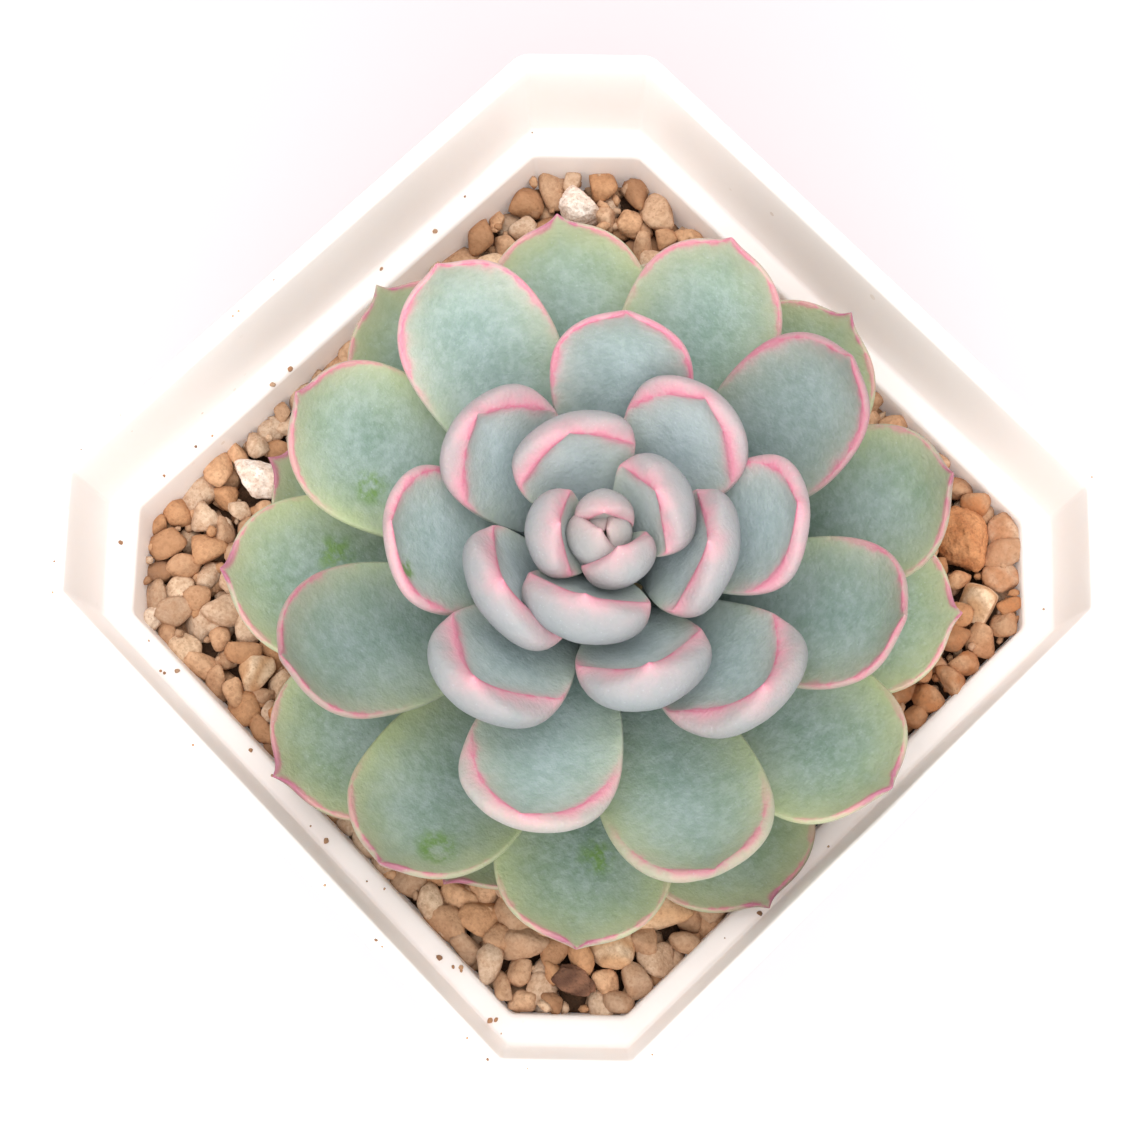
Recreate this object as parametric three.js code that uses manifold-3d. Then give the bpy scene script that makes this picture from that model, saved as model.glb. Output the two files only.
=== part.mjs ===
// An echeveria rosette growing in gritty mix in a square plastic nursery pot.
// Millimetres, +Z up. The origin is the middle of the pot's foot, and the pot's sides lie along X and Y.
import * as THREE from "three";
import { mergeVertices } from "three/addons/utils/BufferGeometryUtils.js";
import Module from "manifold-3d";

const wasm = await Module();
wasm.setup();

const CLEARANCE = 0.3; // the gap left between pieces that touch

// Pot
const POT_SIDE = 85; // across the rim, flat to flat
const POT_HEIGHT = 76;
const POT_CHAMFER = 9.9; // leg of each cut-off corner at the rim
const CORNER_ROUND = 2.6; // radius of the eight upright edges
const CORNER_STEPS = 4; // points along each rounded edge
const RIM_WALL = 1.9;
const COLLAR_DEPTH = 11; // rim top to ledge, inside
const COLLAR_DRAFT = 1.5; // how much narrower the collar is at the ledge
const LEDGE_WIDTH = 2.4;
const BODY_WALL = 1.4;
const FOOT_SIDE = 62; // across the foot, flat to flat
const FOOT_RING = 4.5; // width of the ring that the pot stands on
const FOOT_RECESS = 1.6; // how far the floor is lifted inside the ring
const FLOOR_WALL = 1.8;
const EDGE_ROUND = 0.6; // soft top of the rim
const LEAST_ROUND = 0.6; // the inner upright edges are rounded at least this much
const HOLE_DIAMETER = 6.5;
const HOLE_SPREAD = 15; // middle of the floor to each outer drain hole
const HOLE_COUNT = 4;

// Grit
const GRIT_BELOW_LEDGE = 3;
const GRIT_SLOPE = 0.05; // rise per millimetre towards +X
const GRIT_BUMP = 0.5;
const GRIT_WAVE_X = 20.3; // length of the bumps along X
const GRIT_WAVE_Y = 23.3;
const LOOSE_LUMP = 0.12; // how uneven the loose pieces are, as a share of their size
const LOOSE_SINK = 0.33; // share of a loose piece's height that is below the grit

// Plant: heights are above the grit, angles run anticlockwise from +X
const PLANT_OFFSET = { x: 4.3, y: -0.25 }; // the stem stands a little off the pot's middle
const LEAF_COUNT = 45;
const BUD_LEAVES = 3; // the innermost leaves, still folded together on the stem's axis
const FIRST_ANGLE = 322.4;
const DIVERGENCE = -137.955; // golden angle, turning clockwise from young to old
const ROSETTE_REACH = 36.7; // stem axis to the farthest leaf tips
const REACH_LEAF = 34; // the leaf that reaches farthest
const REACH_POWER = 1.15; // how slowly the leaves spread out at first
const BUD_REACH = 0.9;
const CROWN_HEIGHT = 31.4; // tips of the highest leaves
const CROWN_LEAF = 11.3; // the leaf whose tip stands highest
const CROWN_FALL = 0.0321; // drop of the tips per leaf squared, away from that leaf
const LOWEST_TIP = 5.5; // old leaves rest on the grit
const STEM_TOP = 22.5;
const STEM_RADIUS = 5.2; // where the oldest leaves grow
const STEM_TIP_RADIUS = 2.4;
const STEM_DEPTH = 14; // below the grit
const LEAF_FOOT = 1.8; // height of the lowest leaf base
const LEAF_TOP = 21.9; // height of the highest leaf base
const FOOT_POWER = 0.9; // at 1 the bases would be evenly spaced down the stem
const OLD_LEAF_WIDTH = 19.5; // the widest leaf
const BUD_WIDTH = 2.8; // the narrowest leaf
const WIDTH_POWER = 0.34; // how slowly leaves widen with age
const OPENING_LEAVES = 4; // leaves narrowed by the folded bud
const LEAF_THICKNESS = 6.2; // what the thickness tends to in wide leaves
const THICKENING_WIDTH = 6.5; // young leaves are plump: thick for their width
const YOUNG_SAG = 0.36; // how far a young leaf bows outwards, as a share of its length
const OLD_SAG = -0.06;
const OUTLINE = { start: 0.27, widest: 0.7, bluntness: 2.4 }; // narrow foot, broad end, round tip
const PLUMPNESS = { start: 0.3, widest: 0.55, bluntness: 3 };
const YOUNG_CROWN = 0.42; // share of the thickness that is above the leaf's curve
const OLD_CROWN = 0.2;
const OLD_CUP = 0.09; // how far the sides of an old leaf turn up, as a share of its width
const MUCRO = 1.1; // the small point at a leaf's tip
const ROOT_COUNT = 5;
const ROOT_LENGTH = 20;
const ROOT_RADIUS = 1.3;
const ROOT_FALL = 10; // from a root's top to its end
const ROOT_SWERVE = 17; // degrees that a root turns aside on its way
const STEM_ENDS = 12; // how abruptly both ends of the stem round off
const STEM_WAIST = 0.75; // width of the stem's buried end, as a share of its own

// How far some leaves lean off their regular place: degrees round the stem, millimetres outwards.
const TURNED = { 4: 7, 5: -7, 6: 13, 8: 3, 9: -4, 10: 12, 11: 12, 12: -9, 13: 4, 14: -7, 15: -2, 16: 2,
  17: -7, 19: 4, 20: -2, 21: -5, 24: -4, 26: -2, 27: 2, 28: -2, 33: 2, 36: 3 };
const DRAWN_OUT = { 10: -1, 11: -1.5, 12: 1, 13: -1.5, 14: -1.5, 17: -1, 18: -1, 19: -4.5, 20: 2.5, 21: 1,
  22: 2, 23: -1, 24: 1, 27: -1, 28: -1, 29: 1, 30: -1.5, 31: -1.5, 33: -2, 36: -2, 37: 1, 40: 1.5 };

// Loose pieces that stand out on the grit: place as a share of the grit's half width, then size.
const LOOSE_PIECES = [
  { name: "pumice_white", x: -0.87, y: -0.47, size: [6.6, 4.4, 4.2], turn: 20, kind: "pumice" },
  { name: "stone_dark", x: -0.85, y: -0.3, size: [4.6, 3.8, 3.4], turn: 75, kind: "stone" },
  { name: "clump_large", x: 0.72, y: 0.87, size: [7.6, 5.8, 5.2], turn: 130, kind: "clump" },
  { name: "pebble_pale", x: 0.87, y: 0.77, size: [4.3, 4.0, 3.4], turn: 10, kind: "pebble" },
  { name: "pebble_oval", x: -0.43, y: -0.88, size: [4.6, 3.4, 3.2], turn: 100, kind: "pebble" },
  { name: "clump_ochre", x: -0.24, y: -0.89, size: [4.8, 4.4, 4.0], turn: 50, kind: "clump" },
  { name: "pebble_long", x: 0.85, y: -0.52, size: [7.0, 4.4, 3.8], turn: 60, kind: "pebble" },
  { name: "pebble_round", x: 0.87, y: -0.69, size: [4.8, 4.6, 4.0], turn: 0, kind: "pebble" },
  { name: "bark_chip", x: 0.85, y: -0.83, size: [4.4, 2.8, 1.8], turn: 35, kind: "bark" },
  { name: "pumice_wedge", x: -0.84, y: 0.8, size: [4.6, 4.4, 4.0], turn: 15, kind: "pumice" },
  { name: "clump_brown", x: -0.2, y: 0.88, size: [5.2, 4.6, 4.2], turn: 85, kind: "clump" },
];

// Sizes that follow from the ones above
const RIM_HALF = POT_SIDE / 2;
const FOOT_HALF = FOOT_SIDE / 2;
const LEDGE_Z = POT_HEIGHT - COLLAR_DEPTH;
const COLLAR_FOOT_HALF = RIM_HALF - COLLAR_DRAFT;
const BODY_TOP_HALF = COLLAR_FOOT_HALF - RIM_WALL - LEDGE_WIDTH + BODY_WALL;
const BODY_TOP_Z = LEDGE_Z - BODY_WALL;
const FLOOR_Z = FOOT_RECESS + FLOOR_WALL;
const GRIT_Z = LEDGE_Z - GRIT_BELOW_LEDGE;

const MATERIALS = {
  pot: new THREE.MeshStandardMaterial({ color: 0xf1efec, roughness: 0.42, metalness: 0 }),
  grit: new THREE.MeshStandardMaterial({ color: 0xc79b66, roughness: 0.95, metalness: 0 }),
  stem: new THREE.MeshStandardMaterial({ color: 0x9a7f5a, roughness: 0.85, metalness: 0 }),
  leaf: new THREE.MeshStandardMaterial({ color: 0x93a394, roughness: 0.62, metalness: 0 }),
  pumice: new THREE.MeshStandardMaterial({ color: 0xe6e0d4, roughness: 0.96, metalness: 0 }),
  stone: new THREE.MeshStandardMaterial({ color: 0x5c5550, roughness: 0.9, metalness: 0 }),
  clump: new THREE.MeshStandardMaterial({ color: 0xa9693a, roughness: 0.97, metalness: 0 }),
  pebble: new THREE.MeshStandardMaterial({ color: 0xcdae84, roughness: 0.88, metalness: 0 }),
  bark: new THREE.MeshStandardMaterial({ color: 0x5a3b26, roughness: 0.9, metalness: 0 }),
};

const radians = THREE.MathUtils.degToRad;
const mix = THREE.MathUtils.lerp;

// The closed solid of a geometry, with its shared vertices merged.
function solidOf(geometry) {
  const bare = new THREE.BufferGeometry();
  bare.setAttribute("position", geometry.getAttribute("position").clone());
  bare.setIndex(geometry.getIndex() ? geometry.getIndex().clone() : null);
  const merged = mergeVertices(bare, 1e-4);
  return new wasm.Manifold(
    new wasm.Mesh({
      numProp: 3,
      vertProperties: new Float32Array(merged.getAttribute("position").array),
      triVerts: new Uint32Array(merged.getIndex().array),
    }),
  );
}

// A named mesh of a solid. Crumbs that a cut leaves beside the main body are not part of the piece.
function meshOf(solid, name, material) {
  const bodies = solid.decompose().sort((a, b) => b.volume() - a.volume());
  const { vertProperties, triVerts } = bodies[0].getMesh();
  const geometry = new THREE.BufferGeometry();
  geometry.setAttribute("position", new THREE.BufferAttribute(vertProperties, 3));
  geometry.setIndex(new THREE.BufferAttribute(triVerts, 1));
  geometry.computeVertexNormals();
  const mesh = new THREE.Mesh(geometry, material);
  mesh.name = name;
  return mesh;
}

// Moves every vertex of a geometry to place(vertex, index).
function reshaped(geometry, place) {
  const position = geometry.getAttribute("position");
  const vertex = new THREE.Vector3();
  for (let i = 0; i < position.count; i += 1) {
    vertex.fromBufferAttribute(position, i);
    position.setXYZ(i, ...place(vertex, i).toArray());
  }
  return geometry;
}

// Leg of the cut-off corner where the pot is `half` wide: the corners shrink with the pot.
function chamferLeg(half) {
  return (POT_CHAMFER * half) / RIM_HALF;
}

// Point `step` of the pot's outline, `inset` inwards from where its outside is `half` wide.
function outlinePoint(half, inset, step) {
  const corner = Math.floor(step / CORNER_STEPS) % 8;
  const flat = half - inset;
  const slant = (2 * half - chamferLeg(half)) / Math.SQRT2 - inset;
  const round = Math.min(Math.max(CORNER_ROUND - inset, LEAST_ROUND), flat / 2);
  const before = (corner % 2 === 0 ? flat : slant) - round;
  const after = (corner % 2 === 0 ? slant : flat) - round;
  const turn = radians(45 * corner);
  const along = (after - before * Math.SQRT1_2) / Math.SQRT1_2;
  const arc = turn + (radians(45) * (step % CORNER_STEPS)) / (CORNER_STEPS - 1);
  return new THREE.Vector2(
    before * Math.cos(turn) - along * Math.sin(turn) + round * Math.cos(arc),
    before * Math.sin(turn) + along * Math.cos(turn) + round * Math.sin(arc),
  );
}

// A closed body of rings shaped like the pot, from the bottom of its axis round to the top of its axis.
// Each row is { half, inset, z }, and half 0 is a point on the axis.
function potShaped(rows, lift = () => 0) {
  const profile = rows.map((row) => new THREE.Vector2(row.half, row.z));
  const lathe = new THREE.LatheGeometry(profile, 8 * CORNER_STEPS);
  return reshaped(lathe, (vertex, index) => {
    const row = rows[index % rows.length];
    if (row.half === 0) return new THREE.Vector3(0, 0, row.z + (row.top ? lift(0, 0) : 0));
    const flat = outlinePoint(row.half, row.inset, Math.floor(index / rows.length));
    return new THREE.Vector3(flat.x, flat.y, row.z + (row.top ? lift(flat.x, flat.y) : 0));
  });
}

// Outer half width of the tapered body at height z.
function bodyHalf(z) {
  return mix(FOOT_HALF, BODY_TOP_HALF, z / BODY_TOP_Z);
}

function makePot() {
  const rows = [
    { half: 0, inset: 0, z: FOOT_RECESS },
    { half: FOOT_HALF, inset: FOOT_RING, z: FOOT_RECESS },
    { half: FOOT_HALF, inset: FOOT_RING, z: 0 },
    { half: FOOT_HALF, inset: 0, z: 0 },
    { half: BODY_TOP_HALF, inset: 0, z: BODY_TOP_Z },
    { half: COLLAR_FOOT_HALF, inset: 0, z: BODY_TOP_Z },
    { half: RIM_HALF, inset: 0, z: POT_HEIGHT - EDGE_ROUND },
    { half: RIM_HALF, inset: EDGE_ROUND, z: POT_HEIGHT },
    { half: RIM_HALF, inset: RIM_WALL - EDGE_ROUND, z: POT_HEIGHT },
    { half: RIM_HALF, inset: RIM_WALL, z: POT_HEIGHT - EDGE_ROUND },
    { half: COLLAR_FOOT_HALF, inset: RIM_WALL, z: LEDGE_Z },
    { half: BODY_TOP_HALF, inset: BODY_WALL, z: LEDGE_Z },
    { half: BODY_TOP_HALF, inset: BODY_WALL, z: BODY_TOP_Z },
    { half: bodyHalf(FLOOR_Z), inset: BODY_WALL, z: FLOOR_Z },
    { half: 0, inset: 0, z: FLOOR_Z },
  ];
  let pot = solidOf(potShaped(rows));
  for (let i = 0; i <= HOLE_COUNT; i += 1) {
    const angle = radians(45 + (360 / HOLE_COUNT) * i);
    const spread = i === HOLE_COUNT ? 0 : HOLE_SPREAD;
    const drill = new THREE.CylinderGeometry(HOLE_DIAMETER / 2, HOLE_DIAMETER / 2, 4 * FLOOR_WALL, 20);
    drill.rotateX(Math.PI / 2);
    drill.translate(spread * Math.cos(angle), spread * Math.sin(angle), FLOOR_Z);
    pot = pot.subtract(solidOf(drill));
  }
  return pot;
}

// Height of the grit above its mean level: it slopes, and its surface is uneven.
function gritLift(x, y) {
  const waveX = Math.sin((2 * Math.PI * x) / GRIT_WAVE_X + 1.7);
  const waveY = Math.cos((2 * Math.PI * y) / GRIT_WAVE_Y - 0.6);
  return GRIT_SLOPE * x + GRIT_BUMP * waveX * waveY;
}

// The grit is the space inside the pot's body, cut off by an uneven top.
function makeGrit() {
  const edge = BODY_WALL + CLEARANCE;
  const bottom = FLOOR_Z + CLEARANCE;
  const space = [
    { half: 0, inset: 0, z: bottom },
    { half: bodyHalf(bottom), inset: edge, z: bottom },
    { half: BODY_TOP_HALF, inset: edge, z: BODY_TOP_Z },
    { half: BODY_TOP_HALF, inset: edge, z: POT_HEIGHT },
    { half: 0, inset: 0, z: POT_HEIGHT },
  ];
  const heap = [
    { half: 0, inset: 0, z: 0 },
    { half: RIM_HALF, inset: 0, z: 0 },
    { half: RIM_HALF, inset: 0, z: GRIT_Z, top: true },
    { half: RIM_HALF * 0.7, inset: 0, z: GRIT_Z, top: true },
    { half: RIM_HALF * 0.4, inset: 0, z: GRIT_Z, top: true },
    { half: 0, inset: 0, z: GRIT_Z, top: true },
  ];
  return solidOf(potShaped(space)).intersect(solidOf(potShaped(heap, gritLift)));
}

// A closed body along a curve that lies square to `side`. Its cross-section at `along` (0 to 1) and
// `around` (0 to 2 pi) is section(along, around) = { side, up } away from the curve, in millimetres.
function bodyAlong(curve, side, section, { segments, rows, stretch }) {
  const ball = new THREE.SphereGeometry(1, segments, rows);
  return reshaped(ball, (vertex) => {
    const along = THREE.MathUtils.clamp((vertex.y + 1) / 2, 0, 1);
    const atPole = Math.hypot(vertex.x, vertex.z) < 1e-6;
    const tangent = curve.getTangent(along);
    const up = tangent.clone().cross(side).normalize();
    const offset = atPole ? { side: 0, up: 0 } : section(along, Math.atan2(vertex.x, vertex.z));
    return curve
      .getPoint(along)
      .addScaledVector(side, offset.side)
      .addScaledVector(up, offset.up)
      .addScaledVector(tangent, stretch * vertex.y);
  });
}

// Point at a distance and a height above the grit, straight out from the stem at an angle.
function plantPoint(angle, distance, height) {
  return new THREE.Vector3(
    PLANT_OFFSET.x + distance * Math.cos(angle),
    PLANT_OFFSET.y + distance * Math.sin(angle),
    GRIT_Z + height,
  );
}

// Radius of the stem at a height above the grit.
function stemRadius(height) {
  return mix(STEM_RADIUS, STEM_TIP_RADIUS, THREE.MathUtils.clamp(height / STEM_TOP, 0, 1));
}

// A share that grows smoothly from `start` to 1 and then rounds off to 0 at the tip.
function swelling(along, { start, widest, bluntness }) {
  if (along < widest) return mix(start, 1, THREE.MathUtils.smoothstep(along / widest, 0, 1));
  const beyond = (along - widest) / (1 - widest);
  return Math.sqrt(Math.max(0, 1 - beyond ** bluntness));
}

// The sizes and the curve of leaf `index`, from 1 (youngest) to LEAF_COUNT (oldest).
function leafForm(index) {
  const age = index / LEAF_COUNT;
  const unfolded = Math.max(0, index - BUD_LEAVES) / (REACH_LEAF - BUD_LEAVES);
  const angle = radians(FIRST_ANGLE + DIVERGENCE * index + (TURNED[index] ?? 0));
  const outwards = Math.sin((Math.PI / 2) * unfolded ** REACH_POWER);
  const reach = Math.max(BUD_REACH, ROSETTE_REACH * outwards + (DRAWN_OUT[index] ?? 0));
  const rise = Math.max(CROWN_HEIGHT - CROWN_FALL * (index - CROWN_LEAF) ** 2, LOWEST_TIP);
  const baseHeight = mix(LEAF_TOP, LEAF_FOOT, age ** FOOT_POWER);
  const base = plantPoint(angle, stemRadius(baseHeight) + CLEARANCE, baseHeight);
  const tip = plantPoint(angle, reach, rise);
  const chord = tip.clone().sub(base);
  const length = chord.length();
  const side = new THREE.Vector3(-Math.sin(angle), Math.cos(angle), 0);
  const up = chord.clone().normalize().cross(side);
  const sag = mix(YOUNG_SAG, OLD_SAG, age) * length;
  const middle = base.clone().add(tip).multiplyScalar(0.5).addScaledVector(up, -sag);
  const opened = 1 - Math.exp(-((index / OPENING_LEAVES) ** 1.5));
  const width = Math.max(BUD_WIDTH, OLD_LEAF_WIDTH * age ** WIDTH_POWER * opened);
  return {
    age,
    side,
    width,
    thickness: LEAF_THICKNESS * (1 - Math.exp(-width / THICKENING_WIDTH)),
    curve: new THREE.QuadraticBezierCurve3(base, middle, tip),
  };
}

// A leaf: narrow where it grows from the stem, widest past its middle, its back fuller than its face.
function makeLeaf(index, grow = 0) {
  const { age, side, width, thickness, curve } = leafForm(index);
  const crown = mix(YOUNG_CROWN, OLD_CROWN, age) * thickness;
  const belly = thickness - crown;
  const cup = OLD_CUP * age * width;
  const section = (along, around) => {
    const halfWidth = (width / 2) * swelling(along, OUTLINE) + grow;
    const plump = swelling(along, PLUMPNESS);
    const across = Math.cos(around);
    const over = Math.sin(around);
    const depth = over > 0 ? crown * plump + grow : belly * plump + grow;
    return { side: halfWidth * across, up: depth * over + cup * plump * across ** 2 };
  };
  const mesh = { segments: 10, rows: 7, stretch: grow + MUCRO / 2 };
  return solidOf(bodyAlong(curve, side, section, mesh));
}

// The stem from its buried end to its growing tip, with roots spreading from its foot.
function makeStem(grow = 0) {
  const bottom = plantPoint(0, 0, -STEM_DEPTH);
  const top = plantPoint(0, 0, STEM_TOP);
  const axis = new THREE.LineCurve3(bottom, top);
  const rod = (along, around) => {
    const height = mix(-STEM_DEPTH, STEM_TOP, along);
    const round = Math.min(1, Math.sqrt(along * STEM_ENDS), Math.sqrt((1 - along) * STEM_ENDS));
    const radius = stemRadius(height) * mix(STEM_WAIST, 1, Math.min(1, along * 2)) * round + grow;
    return { side: radius * Math.cos(around), up: radius * Math.sin(around) };
  };
  const across = new THREE.Vector3(1, 0, 0);
  let stem = solidOf(bodyAlong(axis, across, rod, { segments: 10, rows: 8, stretch: grow }));
  for (let i = 0; i < ROOT_COUNT; i += 1) {
    const angle = radians((360 / ROOT_COUNT) * i + 20);
    const start = plantPoint(angle, 1, 4 - STEM_DEPTH);
    const bend = plantPoint(angle, ROOT_LENGTH * 0.6, 2 - STEM_DEPTH);
    const end = plantPoint(angle + radians(ROOT_SWERVE), ROOT_LENGTH, -STEM_DEPTH - ROOT_FALL);
    const side = new THREE.Vector3(-Math.sin(angle), Math.cos(angle), 0);
    const root = (along, around) => {
      const radius = mix(ROOT_RADIUS, ROOT_RADIUS / 3, along) + grow;
      return { side: radius * Math.cos(around), up: radius * Math.sin(around) };
    };
    const path = new THREE.QuadraticBezierCurve3(start, bend, end);
    stem = stem.add(solidOf(bodyAlong(path, side, root, { segments: 6, rows: 5, stretch: grow })));
  }
  return stem;
}

// A stone, clump or chip that lies a third sunk in the grit. Its lumps follow from its place.
function makeLoosePiece(piece, grow = 0) {
  const room = bodyHalf(GRIT_Z) - BODY_WALL - CLEARANCE;
  const x = piece.x * room;
  const y = piece.y * room;
  const [length, width, height] = piece.size;
  const stone = new THREE.IcosahedronGeometry(1, 1);
  reshaped(stone, (vertex) => {
    const waves = Math.sin(3.1 * vertex.x + x) * Math.cos(2.7 * vertex.y + y + 2 * vertex.z);
    const lump = 1 + LOOSE_LUMP * waves;
    return vertex
      .multiply(new THREE.Vector3(length, width, height).multiplyScalar(lump / 2).addScalar(grow))
      .clone();
  });
  stone.rotateZ(radians(piece.turn));
  stone.translate(x, y, GRIT_Z + gritLift(x, y) + height * (0.5 - LOOSE_SINK));
  return solidOf(stone);
}

// The room that a piece takes up with the clearance round it.
function roomFor(make) {
  return make(CLEARANCE).add(make(0));
}

const names = [...Array(LEAF_COUNT).keys()].map((i) => `leaf_${String(i + 1).padStart(2, "0")}`);
const stemSpace = roomFor((grow) => makeStem(grow));
const leafSpaces = names.map((_, i) => roomFor((grow) => makeLeaf(i + 1, grow)));
const looseSpaces = LOOSE_PIECES.map((piece) => roomFor((grow) => makeLoosePiece(piece, grow)));

// Each leaf makes room for the stem and for the younger leaves that lie over it.
const leaves = names.map((_, i) => {
  let leaf = makeLeaf(i + 1).subtract(stemSpace);
  for (const space of leafSpaces.slice(0, i)) {
    if (leaf.intersect(space).volume() > 0) leaf = leaf.subtract(space);
  }
  return leaf;
});

// The grit makes room for everything that stands or lies in it.
let grit = makeGrit().subtract(stemSpace);
for (const space of [...leafSpaces, ...looseSpaces]) {
  if (grit.intersect(space).volume() > 0) grit = grit.subtract(space);
}

const plant = new THREE.Group();
plant.add(meshOf(makeStem(), "stem", MATERIALS.stem));
leaves.forEach((leaf, i) => plant.add(meshOf(leaf, names[i], MATERIALS.leaf)));

const filling = new THREE.Group();
filling.add(meshOf(grit, "grit_bed", MATERIALS.grit));
for (const piece of LOOSE_PIECES) {
  filling.add(meshOf(makeLoosePiece(piece), piece.name, MATERIALS[piece.kind]));
}

const pottedPlant = new THREE.Group();
pottedPlant.add(meshOf(makePot(), "pot", MATERIALS.pot), filling, plant);

export default pottedPlant;
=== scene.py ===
"""Looks of a potted rosette succulent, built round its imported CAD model.

Sizes are millimetres until a mesh is made. +Z is up and the origin is the middle of the pot's foot.
"""

import logging
import math
from dataclasses import dataclass, field
from enum import Enum

import bmesh
import bpy
import numpy as np
from mathutils import Matrix, Vector
from mathutils.bvhtree import BVHTree


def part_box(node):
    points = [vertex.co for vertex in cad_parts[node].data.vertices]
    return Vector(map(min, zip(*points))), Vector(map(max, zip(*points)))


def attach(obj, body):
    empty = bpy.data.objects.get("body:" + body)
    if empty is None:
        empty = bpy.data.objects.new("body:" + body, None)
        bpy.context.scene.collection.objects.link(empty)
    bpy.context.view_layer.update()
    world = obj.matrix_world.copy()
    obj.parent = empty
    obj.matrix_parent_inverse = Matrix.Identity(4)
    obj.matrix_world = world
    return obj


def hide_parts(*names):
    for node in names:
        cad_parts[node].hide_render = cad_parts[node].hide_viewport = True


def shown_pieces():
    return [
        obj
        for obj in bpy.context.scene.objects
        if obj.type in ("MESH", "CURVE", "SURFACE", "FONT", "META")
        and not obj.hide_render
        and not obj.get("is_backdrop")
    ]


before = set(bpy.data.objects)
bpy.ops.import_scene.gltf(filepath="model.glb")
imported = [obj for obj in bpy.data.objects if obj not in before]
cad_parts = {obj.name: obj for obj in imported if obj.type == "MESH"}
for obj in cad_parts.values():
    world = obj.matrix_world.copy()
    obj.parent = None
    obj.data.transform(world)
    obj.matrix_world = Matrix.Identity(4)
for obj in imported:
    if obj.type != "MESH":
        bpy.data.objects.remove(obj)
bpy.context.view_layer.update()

LOG = logging.getLogger("succulent")
MM = 0.001
FLOAT, COLOUR = "NodeSocketFloat", "NodeSocketColor"
TINY = 1e-9  # keeps a division from failing
FULL_TURN = 2.0 * math.pi
ROOT_HALF = math.sqrt(0.5)
Colour = tuple[float, float, float, float]


class Slot(Enum):
    """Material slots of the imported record."""

    POT = "pot"
    LEAF = "leaf"
    STEM = "stem"
    GRIT = "grit"
    PUMICE = "pumice"
    STONE = "stone"
    CLUMP = "clump"
    PEBBLE = "pebble"
    BARK = "bark"


class Trace(Enum):
    """Per-vertex values that the materials read."""

    MARGIN = "margin"  # millimetres from the leaf's ridge
    FACE = "face"  # 1 on the upper face, 0 on the back
    ALONG = "along"  # 0 at the foot, 1 at the tip
    AGE = "age"  # 0 youngest, 1 oldest
    RUB = "rub"  # 1 where the bloom is rubbed off
    TONE_AND_PAINTED_LIGHT = "tone"  # light or dark grain; on leaves, each leaf's brightness, partly its own colour and partly painted light and shade
    EARTH = "earth"  # 1 on grains stained by soil


def srgb(red: int, green: int, blue: int) -> Colour:
    """The linear colour of three 8-bit display values."""
    shares = (np.array([red, green, blue]) / 255.0).tolist()
    return (*[c / 12.92 if c <= 0.04045 else ((c + 0.055) / 1.055) ** 2.4 for c in shares], 1.0)


def smooth(value: np.ndarray | float, low: float, high: float) -> np.ndarray:
    """An S-curve.

    Args:
        value: where to read it.
        low: where it leaves 0.
        high: where it reaches 1.

    Returns:
        Shares between 0 and 1.
    """
    t = np.clip((np.asarray(value, float) - low) / (high - low), 0.0, 1.0)
    return t * t * (3.0 - 2.0 * t)


def mix(low: float, high: float, share: float) -> float:
    """The number `share` of the way from low to high."""
    return low + (high - low) * share


def node_points(name: str) -> np.ndarray:
    """Vertices of a CAD node in millimetres, one per row."""
    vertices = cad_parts[name].data.vertices
    points = np.empty(3 * len(vertices))
    vertices.foreach_get("co", points)
    return points.reshape(-1, 3) / MM


def column(values: np.ndarray) -> np.ndarray:
    """The values as one column."""
    return values[:, None]


def node_tree_of(names: list[str]) -> BVHTree:
    """One search tree over the surfaces of several CAD nodes.

    Args:
        names: the nodes.

    Returns:
        The tree, in millimetres.
    """
    points: list[np.ndarray] = []
    faces: list[tuple[int, ...]] = []
    for name in names:
        start = sum(len(p) for p in points)
        points.append(node_points(name))
        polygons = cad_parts[name].data.polygons
        faces += [tuple(start + v for v in polygon.vertices) for polygon in polygons]
    return BVHTree.FromPolygons(np.concatenate(points).tolist(), faces)


def face_outwards(mesh: bpy.types.Mesh) -> None:
    """Turns every face of a closed mesh outwards."""
    shell = bmesh.new()
    shell.from_mesh(mesh)
    bmesh.ops.recalc_face_normals(shell, faces=shell.faces)
    shell.to_mesh(mesh)
    shell.free()


def make_piece(
    name: str,
    points: np.ndarray,
    faces: list,
    material: bpy.types.Material,
    replaced: tuple[str, ...] = (),
    traces: dict[Trace, np.ndarray] | None = None,
) -> bpy.types.Object:
    """Makes a smooth mesh that is a piece of the object.

    Args:
        name: the piece's name.
        points: vertices in millimetres.
        faces: vertex numbers of each face.
        material: its finish.
        replaced: CAD nodes it stands for.
        traces: values per vertex for the material.

    Returns:
        The new object, riding on the root body.
    """
    mesh = bpy.data.meshes.new(name)
    mesh.from_pydata((points * MM).tolist(), [], faces)
    face_outwards(mesh)
    mesh.shade_smooth()
    for trace, values in (traces or {}).items():
        layer = mesh.attributes.new(trace.value, "FLOAT", "POINT")
        layer.data.foreach_set("value", np.broadcast_to(values, len(points)).astype(np.float32))
    mesh.materials.append(material)
    piece = bpy.data.objects.new(name, mesh)
    bpy.context.scene.collection.objects.link(piece)
    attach(piece, "root")
    if replaced:
        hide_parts(*replaced)
    return piece


def grid_faces(rows: int, columns: int) -> np.ndarray:
    """Quads of a grid whose rows close into a ring.

    Args:
        rows: how many rows of vertices.
        columns: how many vertices in each.

    Returns:
        Vertex numbers, four per face.
    """
    row, place = np.meshgrid(np.arange(rows), np.arange(columns - 1), indexing="ij")
    start = row * columns + place
    beyond = ((row + 1) % rows) * columns + place
    return np.stack([start, beyond, beyond + 1, start + 1], -1).reshape(-1, 4)


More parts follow.
